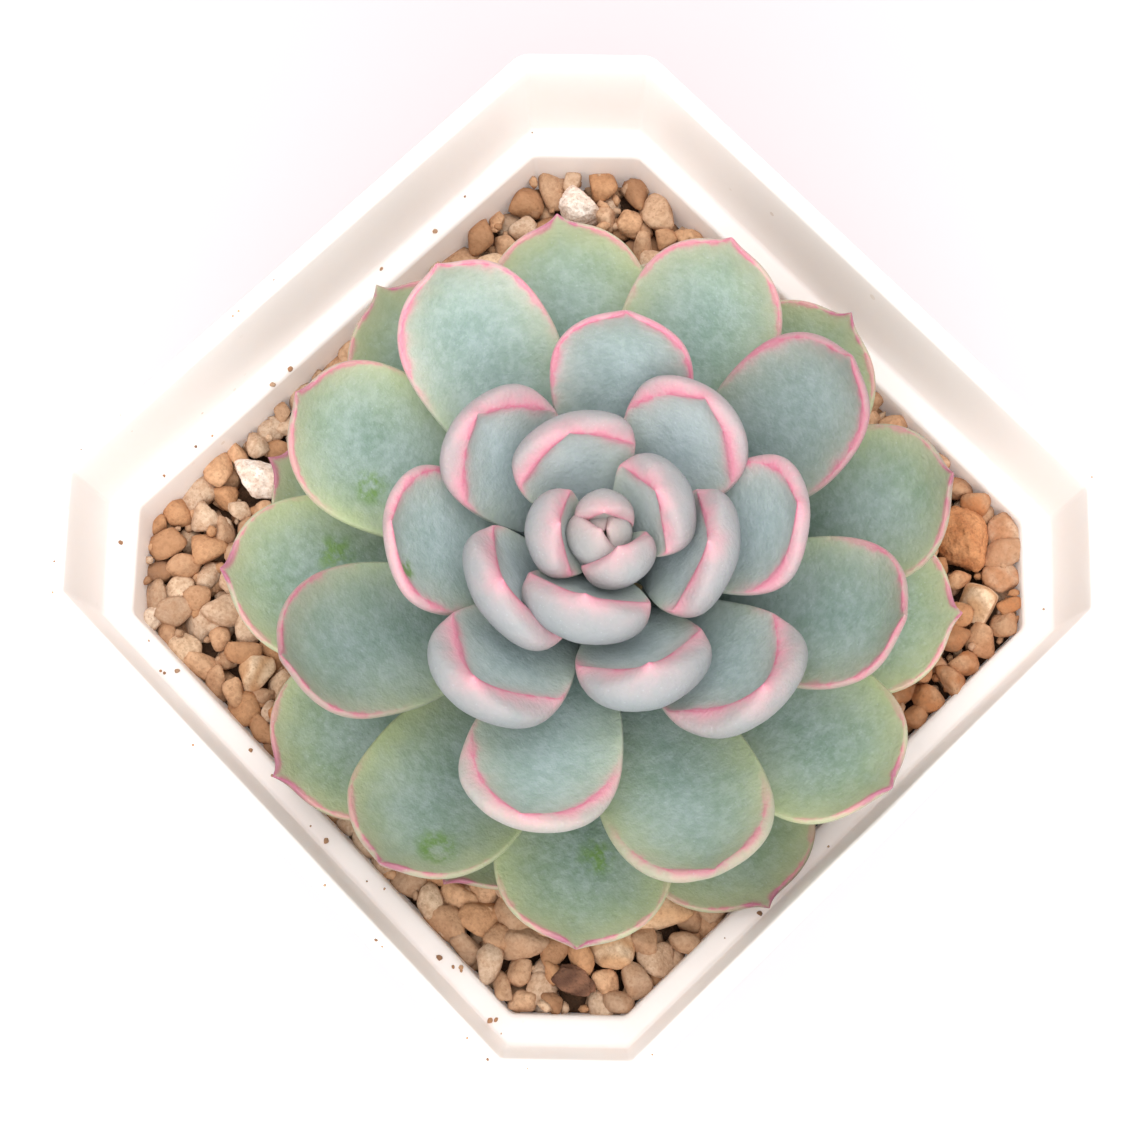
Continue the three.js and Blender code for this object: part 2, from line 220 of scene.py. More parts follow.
def capped_faces(rows: int, columns: int) -> list[list[int]]:
    """Faces of a grid whose rows close into a ring, with a cap on its first and its last column.

    Args:
        rows: how many rows of vertices.
        columns: how many vertices in each.

    Returns:
        Vertex numbers of each face.
    """
    faces = [face[::-1] for face in grid_faces(rows, columns).tolist()]
    first = [columns * i for i in range(rows)]
    return [*faces, first[::-1], [start + columns - 1 for start in first]]


def repeated_faces(triangles: np.ndarray, size: int, count: int) -> list[list[int]]:
    """Faces of several bodies in one mesh.

    Args:
        triangles: vertex numbers of one body.
        size: how many vertices one body has.
        count: how many bodies.

    Returns:
        Vertex numbers of each face.
    """
    return np.concatenate([triangles + size * i for i in range(count)]).tolist()


def weld(points: np.ndarray, quads: np.ndarray) -> tuple[np.ndarray, list[list[int]]]:
    """Merges vertices in the same place.

    Args:
        points: vertices in millimetres.
        quads: vertex numbers, four per face.

    Returns:
        The numbers of the vertices kept, and the faces of the merged mesh.
    """
    _, first, merged = np.unique(np.round(points, 5), axis=0, return_index=True, return_inverse=True)
    faces = [list(dict.fromkeys(face)) for face in merged.reshape(-1)[quads].tolist()]
    return first, [face for face in faces if len(face) > 2]


# ---------------------------------------------------------------- shaders


class Nodes:
    """A short way to write a node tree."""

    def __init__(self, tree: bpy.types.NodeTree) -> None:
        self.tree = tree

    def put(self, socket: bpy.types.NodeSocket, value: object) -> None:
        """Links a socket, or sets its own value."""
        if isinstance(value, bpy.types.NodeSocket):
            self.tree.links.new(value, socket)
        else:
            socket.default_value = value

    def add(self, kind: str, inputs: dict | None = None, **settings: object) -> bpy.types.Node:
        """Adds a node with these settings and inputs."""
        node = self.tree.nodes.new(kind)
        for key, value in settings.items():
            setattr(node, key, value)
        for key, value in (inputs or {}).items():
            self.put(node.inputs[key], value)
        return node

    def math(self, operation: str, a: object, b: object = 0.0) -> bpy.types.NodeSocket:
        """The result of one sum."""
        return self.add("ShaderNodeMath", {0: a, 1: b}, operation=operation).outputs[0]

    def product(self, *factors: object) -> bpy.types.NodeSocket:
        """Several factors multiplied together."""
        result = factors[0]
        for factor in factors[1:]:
            result = self.math("MULTIPLY", result, factor)
        return result

    def blend(self, share: object, a: object, b: object) -> bpy.types.NodeSocket:
        """A colour `share` of the way from a to b."""
        # A mix node has sockets for every sort of value: 6, 7 and output 2 are its colours.
        return self.add("ShaderNodeMix", {0: share, 6: a, 7: b}, data_type="RGBA").outputs[2]

    def span(
        self, value: object, low: object, high: object, to_low: float = 0.0, to_high: float = 1.0
    ) -> bpy.types.NodeSocket:
        """An S-curve from to_low at `low` to to_high at `high`."""
        inputs = {"Value": value, "From Min": low, "From Max": high, "To Min": to_low, "To Max": to_high}
        return self.add("ShaderNodeMapRange", inputs, interpolation_type="SMOOTHSTEP").outputs[0]

    def falloff(self, distance: object, width: object, power: float = 1.0) -> bpy.types.NodeSocket:
        """exp(-(distance / width) ^ power)."""
        scaled = self.math("POWER", self.math("DIVIDE", distance, width), power)
        return self.math("EXPONENT", self.math("MULTIPLY", scaled, -1.0))

    def ramp(self, value: object, stops: tuple[tuple[float, Colour], ...]) -> bpy.types.NodeSocket:
        """The colour at `value` between the stops."""
        node = self.add("ShaderNodeValToRGB", {0: value})
        marks = node.color_ramp.elements
        while len(marks) < len(stops):
            marks.new(0.5)
        for mark, (place, _) in zip(marks, stops):
            mark.position = place
        for mark, (_, colour) in zip(marks, stops):
            mark.color = colour
        return node.outputs[0]

    def scaled(self, colour: object, factor: object) -> bpy.types.NodeSocket:
        """A colour made lighter or darker."""
        return self.add("ShaderNodeVectorMath", {0: colour, "Scale": factor}, operation="SCALE").outputs[0]

    def trace(self, trace: Trace) -> bpy.types.NodeSocket:
        """A per-vertex value."""
        return self.add("ShaderNodeAttribute", attribute_name=trace.value).outputs["Fac"]

    def noise(self, scale: object, detail: float = 3.0, roughness: float = 0.55) -> bpy.types.NodeSocket:
        """Noise over the object, in its own coordinates."""
        place = self.add("ShaderNodeTexCoord").outputs["Object"]
        inputs = {"Vector": place, "Scale": scale, "Detail": detail, "Roughness": roughness}
        return self.add("ShaderNodeTexNoise", inputs).outputs[0]

    def group(self, tree: bpy.types.NodeTree, inputs: dict) -> bpy.types.NodeSocket:
        """The first output of a node group."""
        return self.add("ShaderNodeGroup", inputs, node_tree=tree).outputs[0]


def start_group(
    name: str, inputs: dict[str, str], output: str, kind: str
) -> tuple[bpy.types.NodeTree, Nodes, bpy.types.NodeOutputs, bpy.types.NodeSocket]:
    """Starts a node group.

    Args:
        name: the group's name.
        inputs: socket type of each input by its name.
        output: name of the output.
        kind: socket type of the output.

    Returns:
        The tree, its nodes, its inputs by name and the socket that takes the result.
    """
    tree = bpy.data.node_groups.new(name, "ShaderNodeTree")
    for socket, socket_kind in inputs.items():
        tree.interface.new_socket(socket, in_out="INPUT", socket_type=socket_kind)
    tree.interface.new_socket(output, in_out="OUTPUT", socket_type=kind)
    nodes = Nodes(tree)
    given = nodes.add("NodeGroupInput").outputs
    return tree, nodes, given, nodes.add("NodeGroupOutput").inputs[0]


def mottle_group(low: float = 0.38, high: float = 0.66) -> bpy.types.NodeTree:
    """Clouds of a second colour over a first, where the noise is over `low` and fully over `high`."""
    wanted = {"Colour": COLOUR, "Clouds": COLOUR, "Scale": FLOAT, "Amount": FLOAT}
    tree, nodes, given, result = start_group("Mottle", wanted, "Colour", COLOUR)
    cloud = nodes.span(nodes.noise(given["Scale"], 5.0, 0.6), low, high)
    share = nodes.product(cloud, given["Amount"])
    nodes.put(result, nodes.blend(share, given["Colour"], given["Clouds"]))
    return tree


def speck_group(bare_share: float = 0.45) -> bpy.types.NodeTree:
    """A mask of small scattered round specks, with none in a share of the cells."""
    tree, nodes, given, result = start_group("Specks", {"Scale": FLOAT, "Size": FLOAT}, "Mask", FLOAT)
    place = nodes.add("ShaderNodeTexCoord").outputs["Object"]
    cells = nodes.add("ShaderNodeTexVoronoi", {"Vector": place, "Scale": given["Scale"]})
    chance = nodes.add("ShaderNodeSeparateColor", {0: cells.outputs["Color"]}).outputs[0]
    size = nodes.product(given["Size"], chance)
    near = nodes.math("LESS_THAN", cells.outputs["Distance"], size)
    nodes.put(result, nodes.product(near, nodes.math("GREATER_THAN", chance, bare_share)))
    return tree


def relief_group(fine_share: float = 0.35) -> bpy.types.NodeTree:
    """A height made of coarse and fine unevenness."""
    tree, nodes, given, result = start_group("Relief", {"Coarse": FLOAT, "Fine": FLOAT}, "Height", FLOAT)
    coarse = nodes.noise(given["Coarse"], 4.0, 0.6)
    fine = nodes.noise(given["Fine"], 2.0, 0.5)
    nodes.put(result, nodes.math("ADD", coarse, nodes.product(fine, fine_share)))
    return tree


@dataclass(frozen=True)
class Effects:
    """The node groups that the finishes share."""

    mottle: bpy.types.NodeTree = field(default_factory=mottle_group)
    specks: bpy.types.NodeTree = field(default_factory=speck_group)
    relief: bpy.types.NodeTree = field(default_factory=relief_group)


def start_material(
    name: str, constants: dict[str, object]
) -> tuple[bpy.types.Material, Nodes, bpy.types.Node]:
    """Starts a material.

    Args:
        name: the material's name.
        constants: values of the shader's own sockets by name.

    Returns:
        The material, its nodes and its main shader.
    """
    material = bpy.data.materials.new(name)
    material.use_nodes = True
    shader = material.node_tree.nodes["Principled BSDF"]
    for socket, value in constants.items():
        shader.inputs[socket].default_value = value
    return material, Nodes(material.node_tree), shader


def roughen(
    nodes: Nodes, shader: bpy.types.Node, effects: Effects, grains: tuple[float, float], depth: float,
    strength: float,
) -> None:
    """Gives a shader an uneven surface.

    Args:
        nodes: the material's nodes.
        shader: the shader to roughen.
        effects: the shared node groups.
        grains: scale of the coarse and the fine unevenness.
        depth: its height in metres.
        strength: how much of it shows.
    """
    height = nodes.group(effects.relief, {"Coarse": grains[0], "Fine": grains[1]})
    bump = {"Strength": strength, "Distance": depth, "Height": height}
    nodes.put(shader.inputs["Normal"], nodes.add("ShaderNodeBump", bump).outputs[0])


@dataclass(frozen=True)
class Band:
    """A colour that fades away from a leaf's ridge."""

    colour: Colour
    width: float  # millimetres
    power: float  # how sharply it ends
    young: float = 1.0  # its strength in young leaves
    old: float = 1.0  # its strength in old leaves


@dataclass(frozen=True)
class LeafFinish:
    """Waxy leaf skin: a blue-grey bloom over green, with pink ridges."""

    by_age: tuple[tuple[float, Colour], ...] = (
        (0.0, srgb(148, 155, 141)),
        (0.1, srgb(146, 156, 155)),
        (0.24, srgb(148, 163, 167)),
        (0.4, srgb(131, 150, 149)),
        (0.55, srgb(117, 141, 132)),
        (0.75, srgb(105, 129, 114)),
        (1.0, srgb(96, 120, 100)),
    )
    back: Colour = srgb(128, 134, 140)
    back_share: float = 0.75
    # Painted light: a pale, warm glow of light passing through the leaf's thin edge.
    painted_edge_glow: Band = Band(srgb(190, 196, 176), 1.5, 1.1, 0.45, 0.3)
    lime: Band = Band(srgb(166, 178, 126), 3.2, 1.2, 0.1, 0.8)
    blush: Band = Band(srgb(190, 156, 168), 1.6, 1.1, 0.3, 0.22)
    ridge: Band = Band(srgb(214, 128, 152), 1.3, 1.4, 0.66, 0.34)
    old_ridge_width: float = 0.36
    ridge_on_face: float = 0.42  # how much narrower the ridge's pink is on the face
    line: Band = Band(srgb(192, 88, 122), 0.2, 1.5)
    line_strengths: tuple[float, float] = (0.25, 0.85)  # where it is broken, and where it is whole
    point: Band = Band(srgb(146, 70, 112), 0.5, 1.5, 0.0, 0.7)
    point_start: float = 0.965  # place along the leaf
    bare: Colour = srgb(100, 134, 62)
    bare_share: float = 0.85
    bare_roughness: float = 0.38
    bloom: Colour = srgb(184, 196, 202)
    bloom_scales: tuple[float, float] = (160.0, 1100.0)
    bloom_share: float = 0.2
    specks: tuple[float, float, float] = (2100.0, 0.2, 0.16)  # scale, size and strength
    wander: float = 0.35  # millimetres that the colours stray
    wander_scale: float = 420.0
    old_ages: tuple[float, float] = (0.3, 0.75)
    pink_ages: tuple[float, float] = (0.03, 0.14)
    roughness: float = 0.56
    relief: tuple[float, float] = (330.0, 2600.0)
    relief_depth: float = 0.0006
    relief_strength: float = 0.34

    def skin(self, nodes: Nodes, effects: Effects) -> bpy.types.NodeSocket:
        """The colour away from the ridge: bloom on the face, greyer on the back."""
        colour = nodes.ramp(nodes.trace(Trace.AGE), self.by_age)
        for scale in self.bloom_scales:
            bloom = {"Colour": colour, "Clouds": self.bloom, "Scale": scale, "Amount": self.bloom_share}
            colour = nodes.group(effects.mottle, bloom)
        back = nodes.span(nodes.trace(Trace.FACE), 0.55, 0.1, 0.0, self.back_share)
        return nodes.blend(back, colour, self.back)

    def ridged(self, nodes: Nodes, colour: bpy.types.NodeSocket) -> bpy.types.NodeSocket:
        """The colour with a painted glow of light through the thin edge, lime and pink towards the ridge, and
        a dark line along it.

        Args:
            nodes: the material's nodes.
            colour: the skin's colour.

        Returns:
            The colour with every band on it.
        """
        age, along = nodes.trace(Trace.AGE), nodes.trace(Trace.ALONG)
        noise = nodes.noise(self.wander_scale, 3.0)
        stray = nodes.span(noise, 0.3, 0.7, -self.wander, self.wander)
        edge = nodes.math("MAXIMUM", nodes.math("ADD", nodes.trace(Trace.MARGIN), stray), 0.0)
        old = nodes.span(age, *self.old_ages)
        start, full = nodes.span(old, 0.0, 1.0, 0.5, 0.72), nodes.span(old, 0.0, 1.0, 0.76, 1.0)
        outer = nodes.span(along, start, full)
        beyond_foot = nodes.span(along, 0.2, 0.6)
        # The first band paints the glow of light through the thin edge.
        for band, where in ((self.painted_edge_glow, beyond_foot), (self.lime, beyond_foot), (self.blush, outer)):
            strength = nodes.span(old, 0.0, 1.0, band.young, band.old)
            share = nodes.product(nodes.falloff(edge, band.width, band.power), where, strength)
            colour = nodes.blend(share, colour, band.colour)
        grown = nodes.span(age, *self.pink_ages, 0.25, 1.0)
        on_face = nodes.span(nodes.trace(Trace.FACE), 0.3, 0.7, 1.0, self.ridge_on_face)
        width = nodes.product(nodes.span(old, 0.0, 1.0, self.ridge.width, self.old_ridge_width), on_face)
        strength = nodes.span(old, 0.0, 1.0, self.ridge.young, self.ridge.old)
        pink = nodes.product(nodes.falloff(edge, width, self.ridge.power), outer, grown, strength)
        colour = nodes.blend(pink, colour, self.ridge.colour)
        broken = nodes.span(noise, 0.35, 0.6, *self.line_strengths)
        line = nodes.product(nodes.falloff(edge, self.line.width, self.line.power), outer, grown, broken)
        colour = nodes.blend(line, colour, self.line.colour)
        at_point = nodes.product(nodes.span(along, self.point_start, 1.0), nodes.span(old, 0.4, 1.0))
        near = nodes.falloff(edge, self.point.width, self.point.power)
        return nodes.blend(nodes.product(at_point, near, self.point.old), colour, self.point.colour)

    def material(self, effects: Effects) -> bpy.types.Material:
        """The leaf's material."""
        material, nodes, shader = start_material("leaf_skin", {
            "Subsurface Weight": 0.22,
            "Subsurface Radius": (0.004, 0.005, 0.003),
            "Subsurface Scale": 0.4,
            "Specular IOR Level": 0.32,
        })
        colour = self.ridged(nodes, self.skin(nodes, effects))
        rub = nodes.product(nodes.trace(Trace.RUB), nodes.span(nodes.noise(900.0, 4.0), 0.35, 0.6))
        colour = nodes.blend(nodes.product(rub, self.bare_share), colour, self.bare)
        scale, size, strength = self.specks
        specks = nodes.group(effects.specks, {"Scale": scale, "Size": size})
        colour = nodes.blend(nodes.product(specks, strength), colour, self.bloom)
        # Each leaf's colour is scaled by its brightness factor, which is partly its own colour and partly
        # painted light and shade.
        nodes.put(shader.inputs["Base Color"], nodes.scaled(colour, nodes.trace(Trace.TONE_AND_PAINTED_LIGHT)))
        rough = nodes.span(rub, 0.0, 1.0, self.roughness, self.bare_roughness)
        nodes.put(shader.inputs["Roughness"], rough)
        roughen(nodes, shader, effects, self.relief, self.relief_depth, self.relief_strength)
        return material


@dataclass(frozen=True)
class PlasticFinish:
    """White moulded plastic, slightly translucent, with dust on it."""

    colour: Colour = srgb(253, 242, 237)
    shaded: Colour = srgb(252, 238, 233)
    dust: Colour = srgb(214, 190, 172)
    dust_share: float = 0.7
    dust_scale: float = 420.0
    dust_size: float = 0.16
    roughness: tuple[float, float] = (0.3, 0.46)
    relief: tuple[float, float] = (60.0, 1400.0)
    relief_depth: float = 0.0005
    relief_strength: float = 0.05

    def material(self, effects: Effects) -> bpy.types.Material:
        """The pot's material."""
        material, nodes, shader = start_material("white_plastic", {
            "Subsurface Weight": 0.6,
            "Subsurface Radius": (0.006, 0.0052, 0.0048),
            "Subsurface Scale": 1.0,
        })
        clouds = {"Colour": self.colour, "Clouds": self.shaded, "Scale": 45.0, "Amount": 0.5}
        colour = nodes.group(effects.mottle, clouds)
        specks = nodes.group(effects.specks, {"Scale": self.dust_scale, "Size": self.dust_size})
        patchy = nodes.span(nodes.noise(38.0, 3.0), 0.5, 0.7)
        colour = nodes.blend(nodes.product(specks, patchy, self.dust_share), colour, self.dust)
        nodes.put(shader.inputs["Base Color"], colour)
        nodes.put(shader.inputs["Roughness"], nodes.span(nodes.noise(90.0, 4.0), 0.3, 0.7, *self.roughness))
        roughen(nodes, shader, effects, self.relief, self.relief_depth, self.relief_strength)
        return material


@dataclass(frozen=True)
class MineralFinish:
    """Stone, soil or bark: mottled, speckled and rough."""

    name: str
    stops: tuple[tuple[float, Colour], ...]
    clouds: Colour
    dark: Colour
    grain: float = 520.0
    finer: float = 5.0  # how much finer its specks are than its clouds
    relief: float = 0.5
    relief_depth: float = 0.0006
    roughness: float = 0.86
    earth: Colour | None = None

    def material(self, effects: Effects) -> bpy.types.Material:
        """The material of a mineral."""
        material, nodes, shader = start_material(self.name, {"Specular IOR Level": 0.3})
        colour = nodes.ramp(nodes.trace(Trace.TONE_AND_PAINTED_LIGHT), self.stops)
        if self.earth:
            stain = nodes.product(nodes.trace(Trace.EARTH), nodes.span(nodes.noise(300.0), 0.3, 0.6))
            colour = nodes.blend(stain, colour, self.earth)
        clouds = {"Colour": colour, "Clouds": self.clouds, "Scale": self.grain, "Amount": 0.4}
        colour = nodes.group(effects.mottle, clouds)
        specks = nodes.group(effects.specks, {"Scale": self.grain * self.finer, "Size": 0.36})
        colour = nodes.blend(nodes.product(specks, 0.3), colour, self.dark)
        pits = {"Colour": colour, "Clouds": self.dark, "Scale": self.grain * 4.0, "Amount": 0.3}
        nodes.put(shader.inputs["Base Color"], nodes.group(effects.mottle, pits))
        low, high = self.roughness - 0.12, self.roughness + 0.08
        nodes.put(shader.inputs["Roughness"], nodes.span(nodes.noise(self.grain), 0.3, 0.7, low, high))
        grains = (self.grain, self.grain * self.finer)
        roughen(nodes, shader, effects, grains, self.relief_depth, self.relief)
        return material


GRIT_FINISH = MineralFinish(
    name="gritty_mix",
    stops=(
        (0.0, srgb(118, 90, 72)),
        (0.18, srgb(160, 120, 90)),
        (0.34, srgb(198, 150, 110)),
        (0.48, srgb(184, 154, 128)),
        (0.62, srgb(216, 172, 134)),
        (0.78, srgb(208, 184, 160)),
        (0.9, srgb(230, 200, 168)),
        (1.0, srgb(240, 228, 214)),
    ),
    clouds=srgb(178, 134, 98),
    dark=srgb(140, 98, 68),
    earth=srgb(176, 112, 66),
)
CORE_FINISH = MineralFinish(
    name="dark_mix",
    stops=((0.0, srgb(84, 60, 44)), (1.0, srgb(120, 88, 64))),
    clouds=srgb(66, 48, 36),
    dark=srgb(44, 34, 28),
    relief=0.9,
    roughness=0.92,
)
LOOSE_FINISHES = {
    Slot.PUMICE: MineralFinish(
        name="pumice",
        stops=((0.0, srgb(240, 222, 208)), (1.0, srgb(250, 240, 230))),
        clouds=srgb(222, 192, 166),
        dark=srgb(150, 112, 84),
        relief=0.8,
    ),
    Slot.STONE: MineralFinish(
        name="dark_stone",
        stops=((0.0, srgb(92, 84, 76)), (1.0, srgb(136, 122, 108))),
        clouds=srgb(160, 144, 126),
        dark=srgb(60, 52, 48),
    ),
    Slot.CLUMP: MineralFinish(
        name="soil_clump",
        stops=((0.0, srgb(170, 108, 66)), (1.0, srgb(206, 146, 100))),
        clouds=srgb(222, 168, 122),
        dark=srgb(120, 74, 46),
        relief=0.95,
        roughness=0.92,
    ),
    Slot.PEBBLE: MineralFinish(
        name="tan_pebble",
        stops=((0.0, srgb(210, 168, 128)), (1.0, srgb(232, 204, 172))),
        clouds=srgb(196, 148, 106),
        dark=srgb(150, 108, 76),
        relief=0.35,
        roughness=0.78,
    ),
    Slot.BARK: MineralFinish(
        name="bark",
        stops=((0.0, srgb(92, 62, 48)), (1.0, srgb(138, 98, 76))),
        clouds=srgb(160, 120, 96),
        dark=srgb(54, 38, 32),
        relief=0.9,
        roughness=0.9,
    ),
}
STEM_FINISH = MineralFinish(
    name="stem_skin",
    stops=((0.0, srgb(150, 122, 86)), (1.0, srgb(166, 150, 108))),
    clouds=srgb(176, 160, 120),
    dark=srgb(98, 76, 56),
    grain=300.0,
)


# ---------------------------------------------------------------- pot


@dataclass
class Pot:
    """A square plastic pot with cut-off corners, a deep collar and an inner ledge."""

    side: float = 85.0
    height: float = 76.0
    chamfer: float = 9.9
    corner_round: float = 2.6
    least_round: float = 0.6
    rim_wall: float = 1.9
    collar_depth: float = 11.0
    collar_draft: float = 1.5
    ledge_width: float = 2.4
    body_wall: float = 1.4
    foot_side: float = 62.0
    foot_ring: float = 4.5
    foot_recess: float = 1.6
    floor_wall: float = 1.8
    hole_radius: float = 3.25
    hole_spread: float = 15.0
    hole_count: int = 4
    hole_segments: int = 48
    middle_share: float = 0.01  # size of the smallest ring in the middle of the foot and floor
    corner_steps: int = 12
    edge_steps: int = 6
    shading_weight: int = 80

    @property
    def around(self) -> int:
        """Points in one ring round the pot."""
        return 8 * self.corner_steps

    def leg(self, half: float) -> float:
        """Leg of the cut-off corner where the pot is `half` wide."""
        return self.chamfer * 2.0 * half / self.side

    def outline(self, half: float, inset: float) -> np.ndarray:
        """Points round the pot.

        Args:
            half: half the width of the pot's outside there.
            inset: how far inwards the points lie.

        Returns:
            One point per row.
        """
        flat = half - inset
        slant = (2.0 * half - self.leg(half)) / math.sqrt(2.0) - inset
        radius = min(max(self.corner_round - inset, self.least_round), flat / 2.0)
        points = []
        for corner in range(8):
            before, after = (flat, slant) if corner % 2 == 0 else (slant, flat)
            before, after = before - radius, after - radius
            along = (after - before * ROOT_HALF) / ROOT_HALF
            turn = math.radians(45.0 * corner)
            arc = turn + np.linspace(0.0, math.radians(45.0), self.corner_steps)
            x = before * math.cos(turn) - along * math.sin(turn) + radius * np.cos(arc)
            y = before * math.sin(turn) + along * math.cos(turn) + radius * np.sin(arc)
            points.append(np.stack([x, y], -1))
        return np.concatenate(points)

    def profile(self) -> list[tuple[float, float, float, float]]:
        """Rows of the wall from the middle of the foot to the middle of the floor.

        Returns:
            Half width outside, inset, height and edge radius of each row.
        """
        rim = self.side / 2.0
        foot = self.foot_side / 2.0
        ledge = self.height - self.collar_depth
        collar = rim - self.collar_draft
        body = collar - self.rim_wall - self.ledge_width + self.body_wall
        top = ledge - self.body_wall
        floor = self.foot_recess + self.floor_wall
        floor_half = mix(foot, body, floor / top)
        return [
            (foot * self.middle_share, 0.0, self.foot_recess, 0.0),
            (foot, self.foot_ring, self.foot_recess, 0.3),
            (foot, self.foot_ring, 0.0, 0.4),
            (foot, 0.0, 0.0, 0.5),
            (body, 0.0, top, 0.4),
            (collar, 0.0, top, 0.5),
            (rim, 0.0, self.height, 0.6),
            (rim, self.rim_wall, self.height, 0.6),
            (collar, self.rim_wall, ledge, 0.5),
            (body, self.body_wall, ledge, 0.5),
            (floor_half, self.body_wall, floor, 0.8),
            (floor_half * self.middle_share, 0.0, floor, 0.0),
        ]

    def rounded(self) -> np.ndarray:
        """The profile with its edges rounded off, as half width, inset and height."""
        rows = np.array(self.profile())
        places = np.stack([rows[:, 0] - rows[:, 1], rows[:, 2]], -1)
        result = [rows[0, :3]]
        for i in range(1, len(rows) - 1):
            corner, radius = rows[i, :3], rows[i, 3]
            ends = []
            for other in (i - 1, i + 1):
                length = np.linalg.norm(places[other] - places[i])
                ends.append(corner + (rows[other, :3] - corner) * min(radius / length, 0.45))
            for t in np.linspace(0.0, 1.0, self.edge_steps):
                result.append((1 - t) ** 2 * ends[0] + 2 * t * (1 - t) * corner + t**2 * ends[1])
        result.append(rows[-1, :3])
        return np.array(result)

    def build(self, material: bpy.types.Material) -> bpy.types.Object:
        """Makes the pot and drills its drain holes."""
        rows = self.rounded()
        rings = [
            np.column_stack([self.outline(half, inset), np.full(self.around, z)]) for half, inset, z in rows
        ]
        points = np.stack(rings, 1).reshape(-1, 3)
        faces = capped_faces(self.around, len(rows))
        pot = make_piece("pot_shell", points, faces, material, ("pot",))
        self.drill(pot)
        normals = pot.modifiers.new("even_shading", "WEIGHTED_NORMAL")
        normals.weight = self.shading_weight
        return pot

    def drill(self, pot: bpy.types.Object) -> None:
        """Cuts the drain holes."""
        cutter_mesh = bpy.data.meshes.new("drill")
        drills = bmesh.new()
        for i in range(self.hole_count + 1):
            angle = math.radians(45.0 + 360.0 / self.hole_count * i)
            spread = 0.0 if i == self.hole_count else self.hole_spread
            made = bmesh.ops.create_cone(
                drills, cap_ends=True, segments=self.hole_segments, radius1=self.hole_radius * MM,
                radius2=self.hole_radius * MM, depth=4.0 * self.floor_wall * MM,
            )
            place = Vector((spread * math.cos(angle), spread * math.sin(angle), self.foot_recess)) * MM
            bmesh.ops.translate(drills, verts=made["verts"], vec=place)
        drills.to_mesh(cutter_mesh)
        drills.free()
        cutter = bpy.data.objects.new("drill", cutter_mesh)
        bpy.context.scene.collection.objects.link(cutter)
        cut = pot.modifiers.new("holes", "BOOLEAN")
        cut.object = cutter
        cut.operation = "DIFFERENCE"
        cut.solver = "MANIFOLD"
        graph = bpy.context.evaluated_depsgraph_get()
        drilled = bpy.data.meshes.new_from_object(pot.evaluated_get(graph))
        pot.modifiers.remove(cut)
        pot.data = drilled
        bpy.data.objects.remove(cutter)


# ---------------------------------------------------------------- leaves


@dataclass(frozen=True)
class Trait:
    """How one leaf differs from a regular one."""

    width: float = 1.0
    curl: float = 0.0  # degrees added to the upturn of the tip
    roll: float = 0.0  # degrees about its own length
    puff: float = 0.0  # how much plumper it is than others of its age
    tone_and_painted_light: float = 1.0  # brightness of its skin: partly its own colour, partly painted light and shade from how light falls on it
    rubs: tuple[tuple[float, float, float], ...] = ()  # place along, across and size of each bare patch


@dataclass(frozen=True)
class Spine:
    """A leaf's middle line, in the plane of outwards and up."""

    line: np.ndarray
    normal: np.ndarray
    length: float


@dataclass(frozen=True)
class Outline:
    """A leaf's outline from base to tip and back, with the line of points that its face fans out from."""

    along: np.ndarray  # place along the leaf as a share of its length
    across: np.ndarray  # millimetres
    middle: np.ndarray  # place along the leaf of the middle point that belongs to it
    reach: np.ndarray  # millimetres from that point to the outline


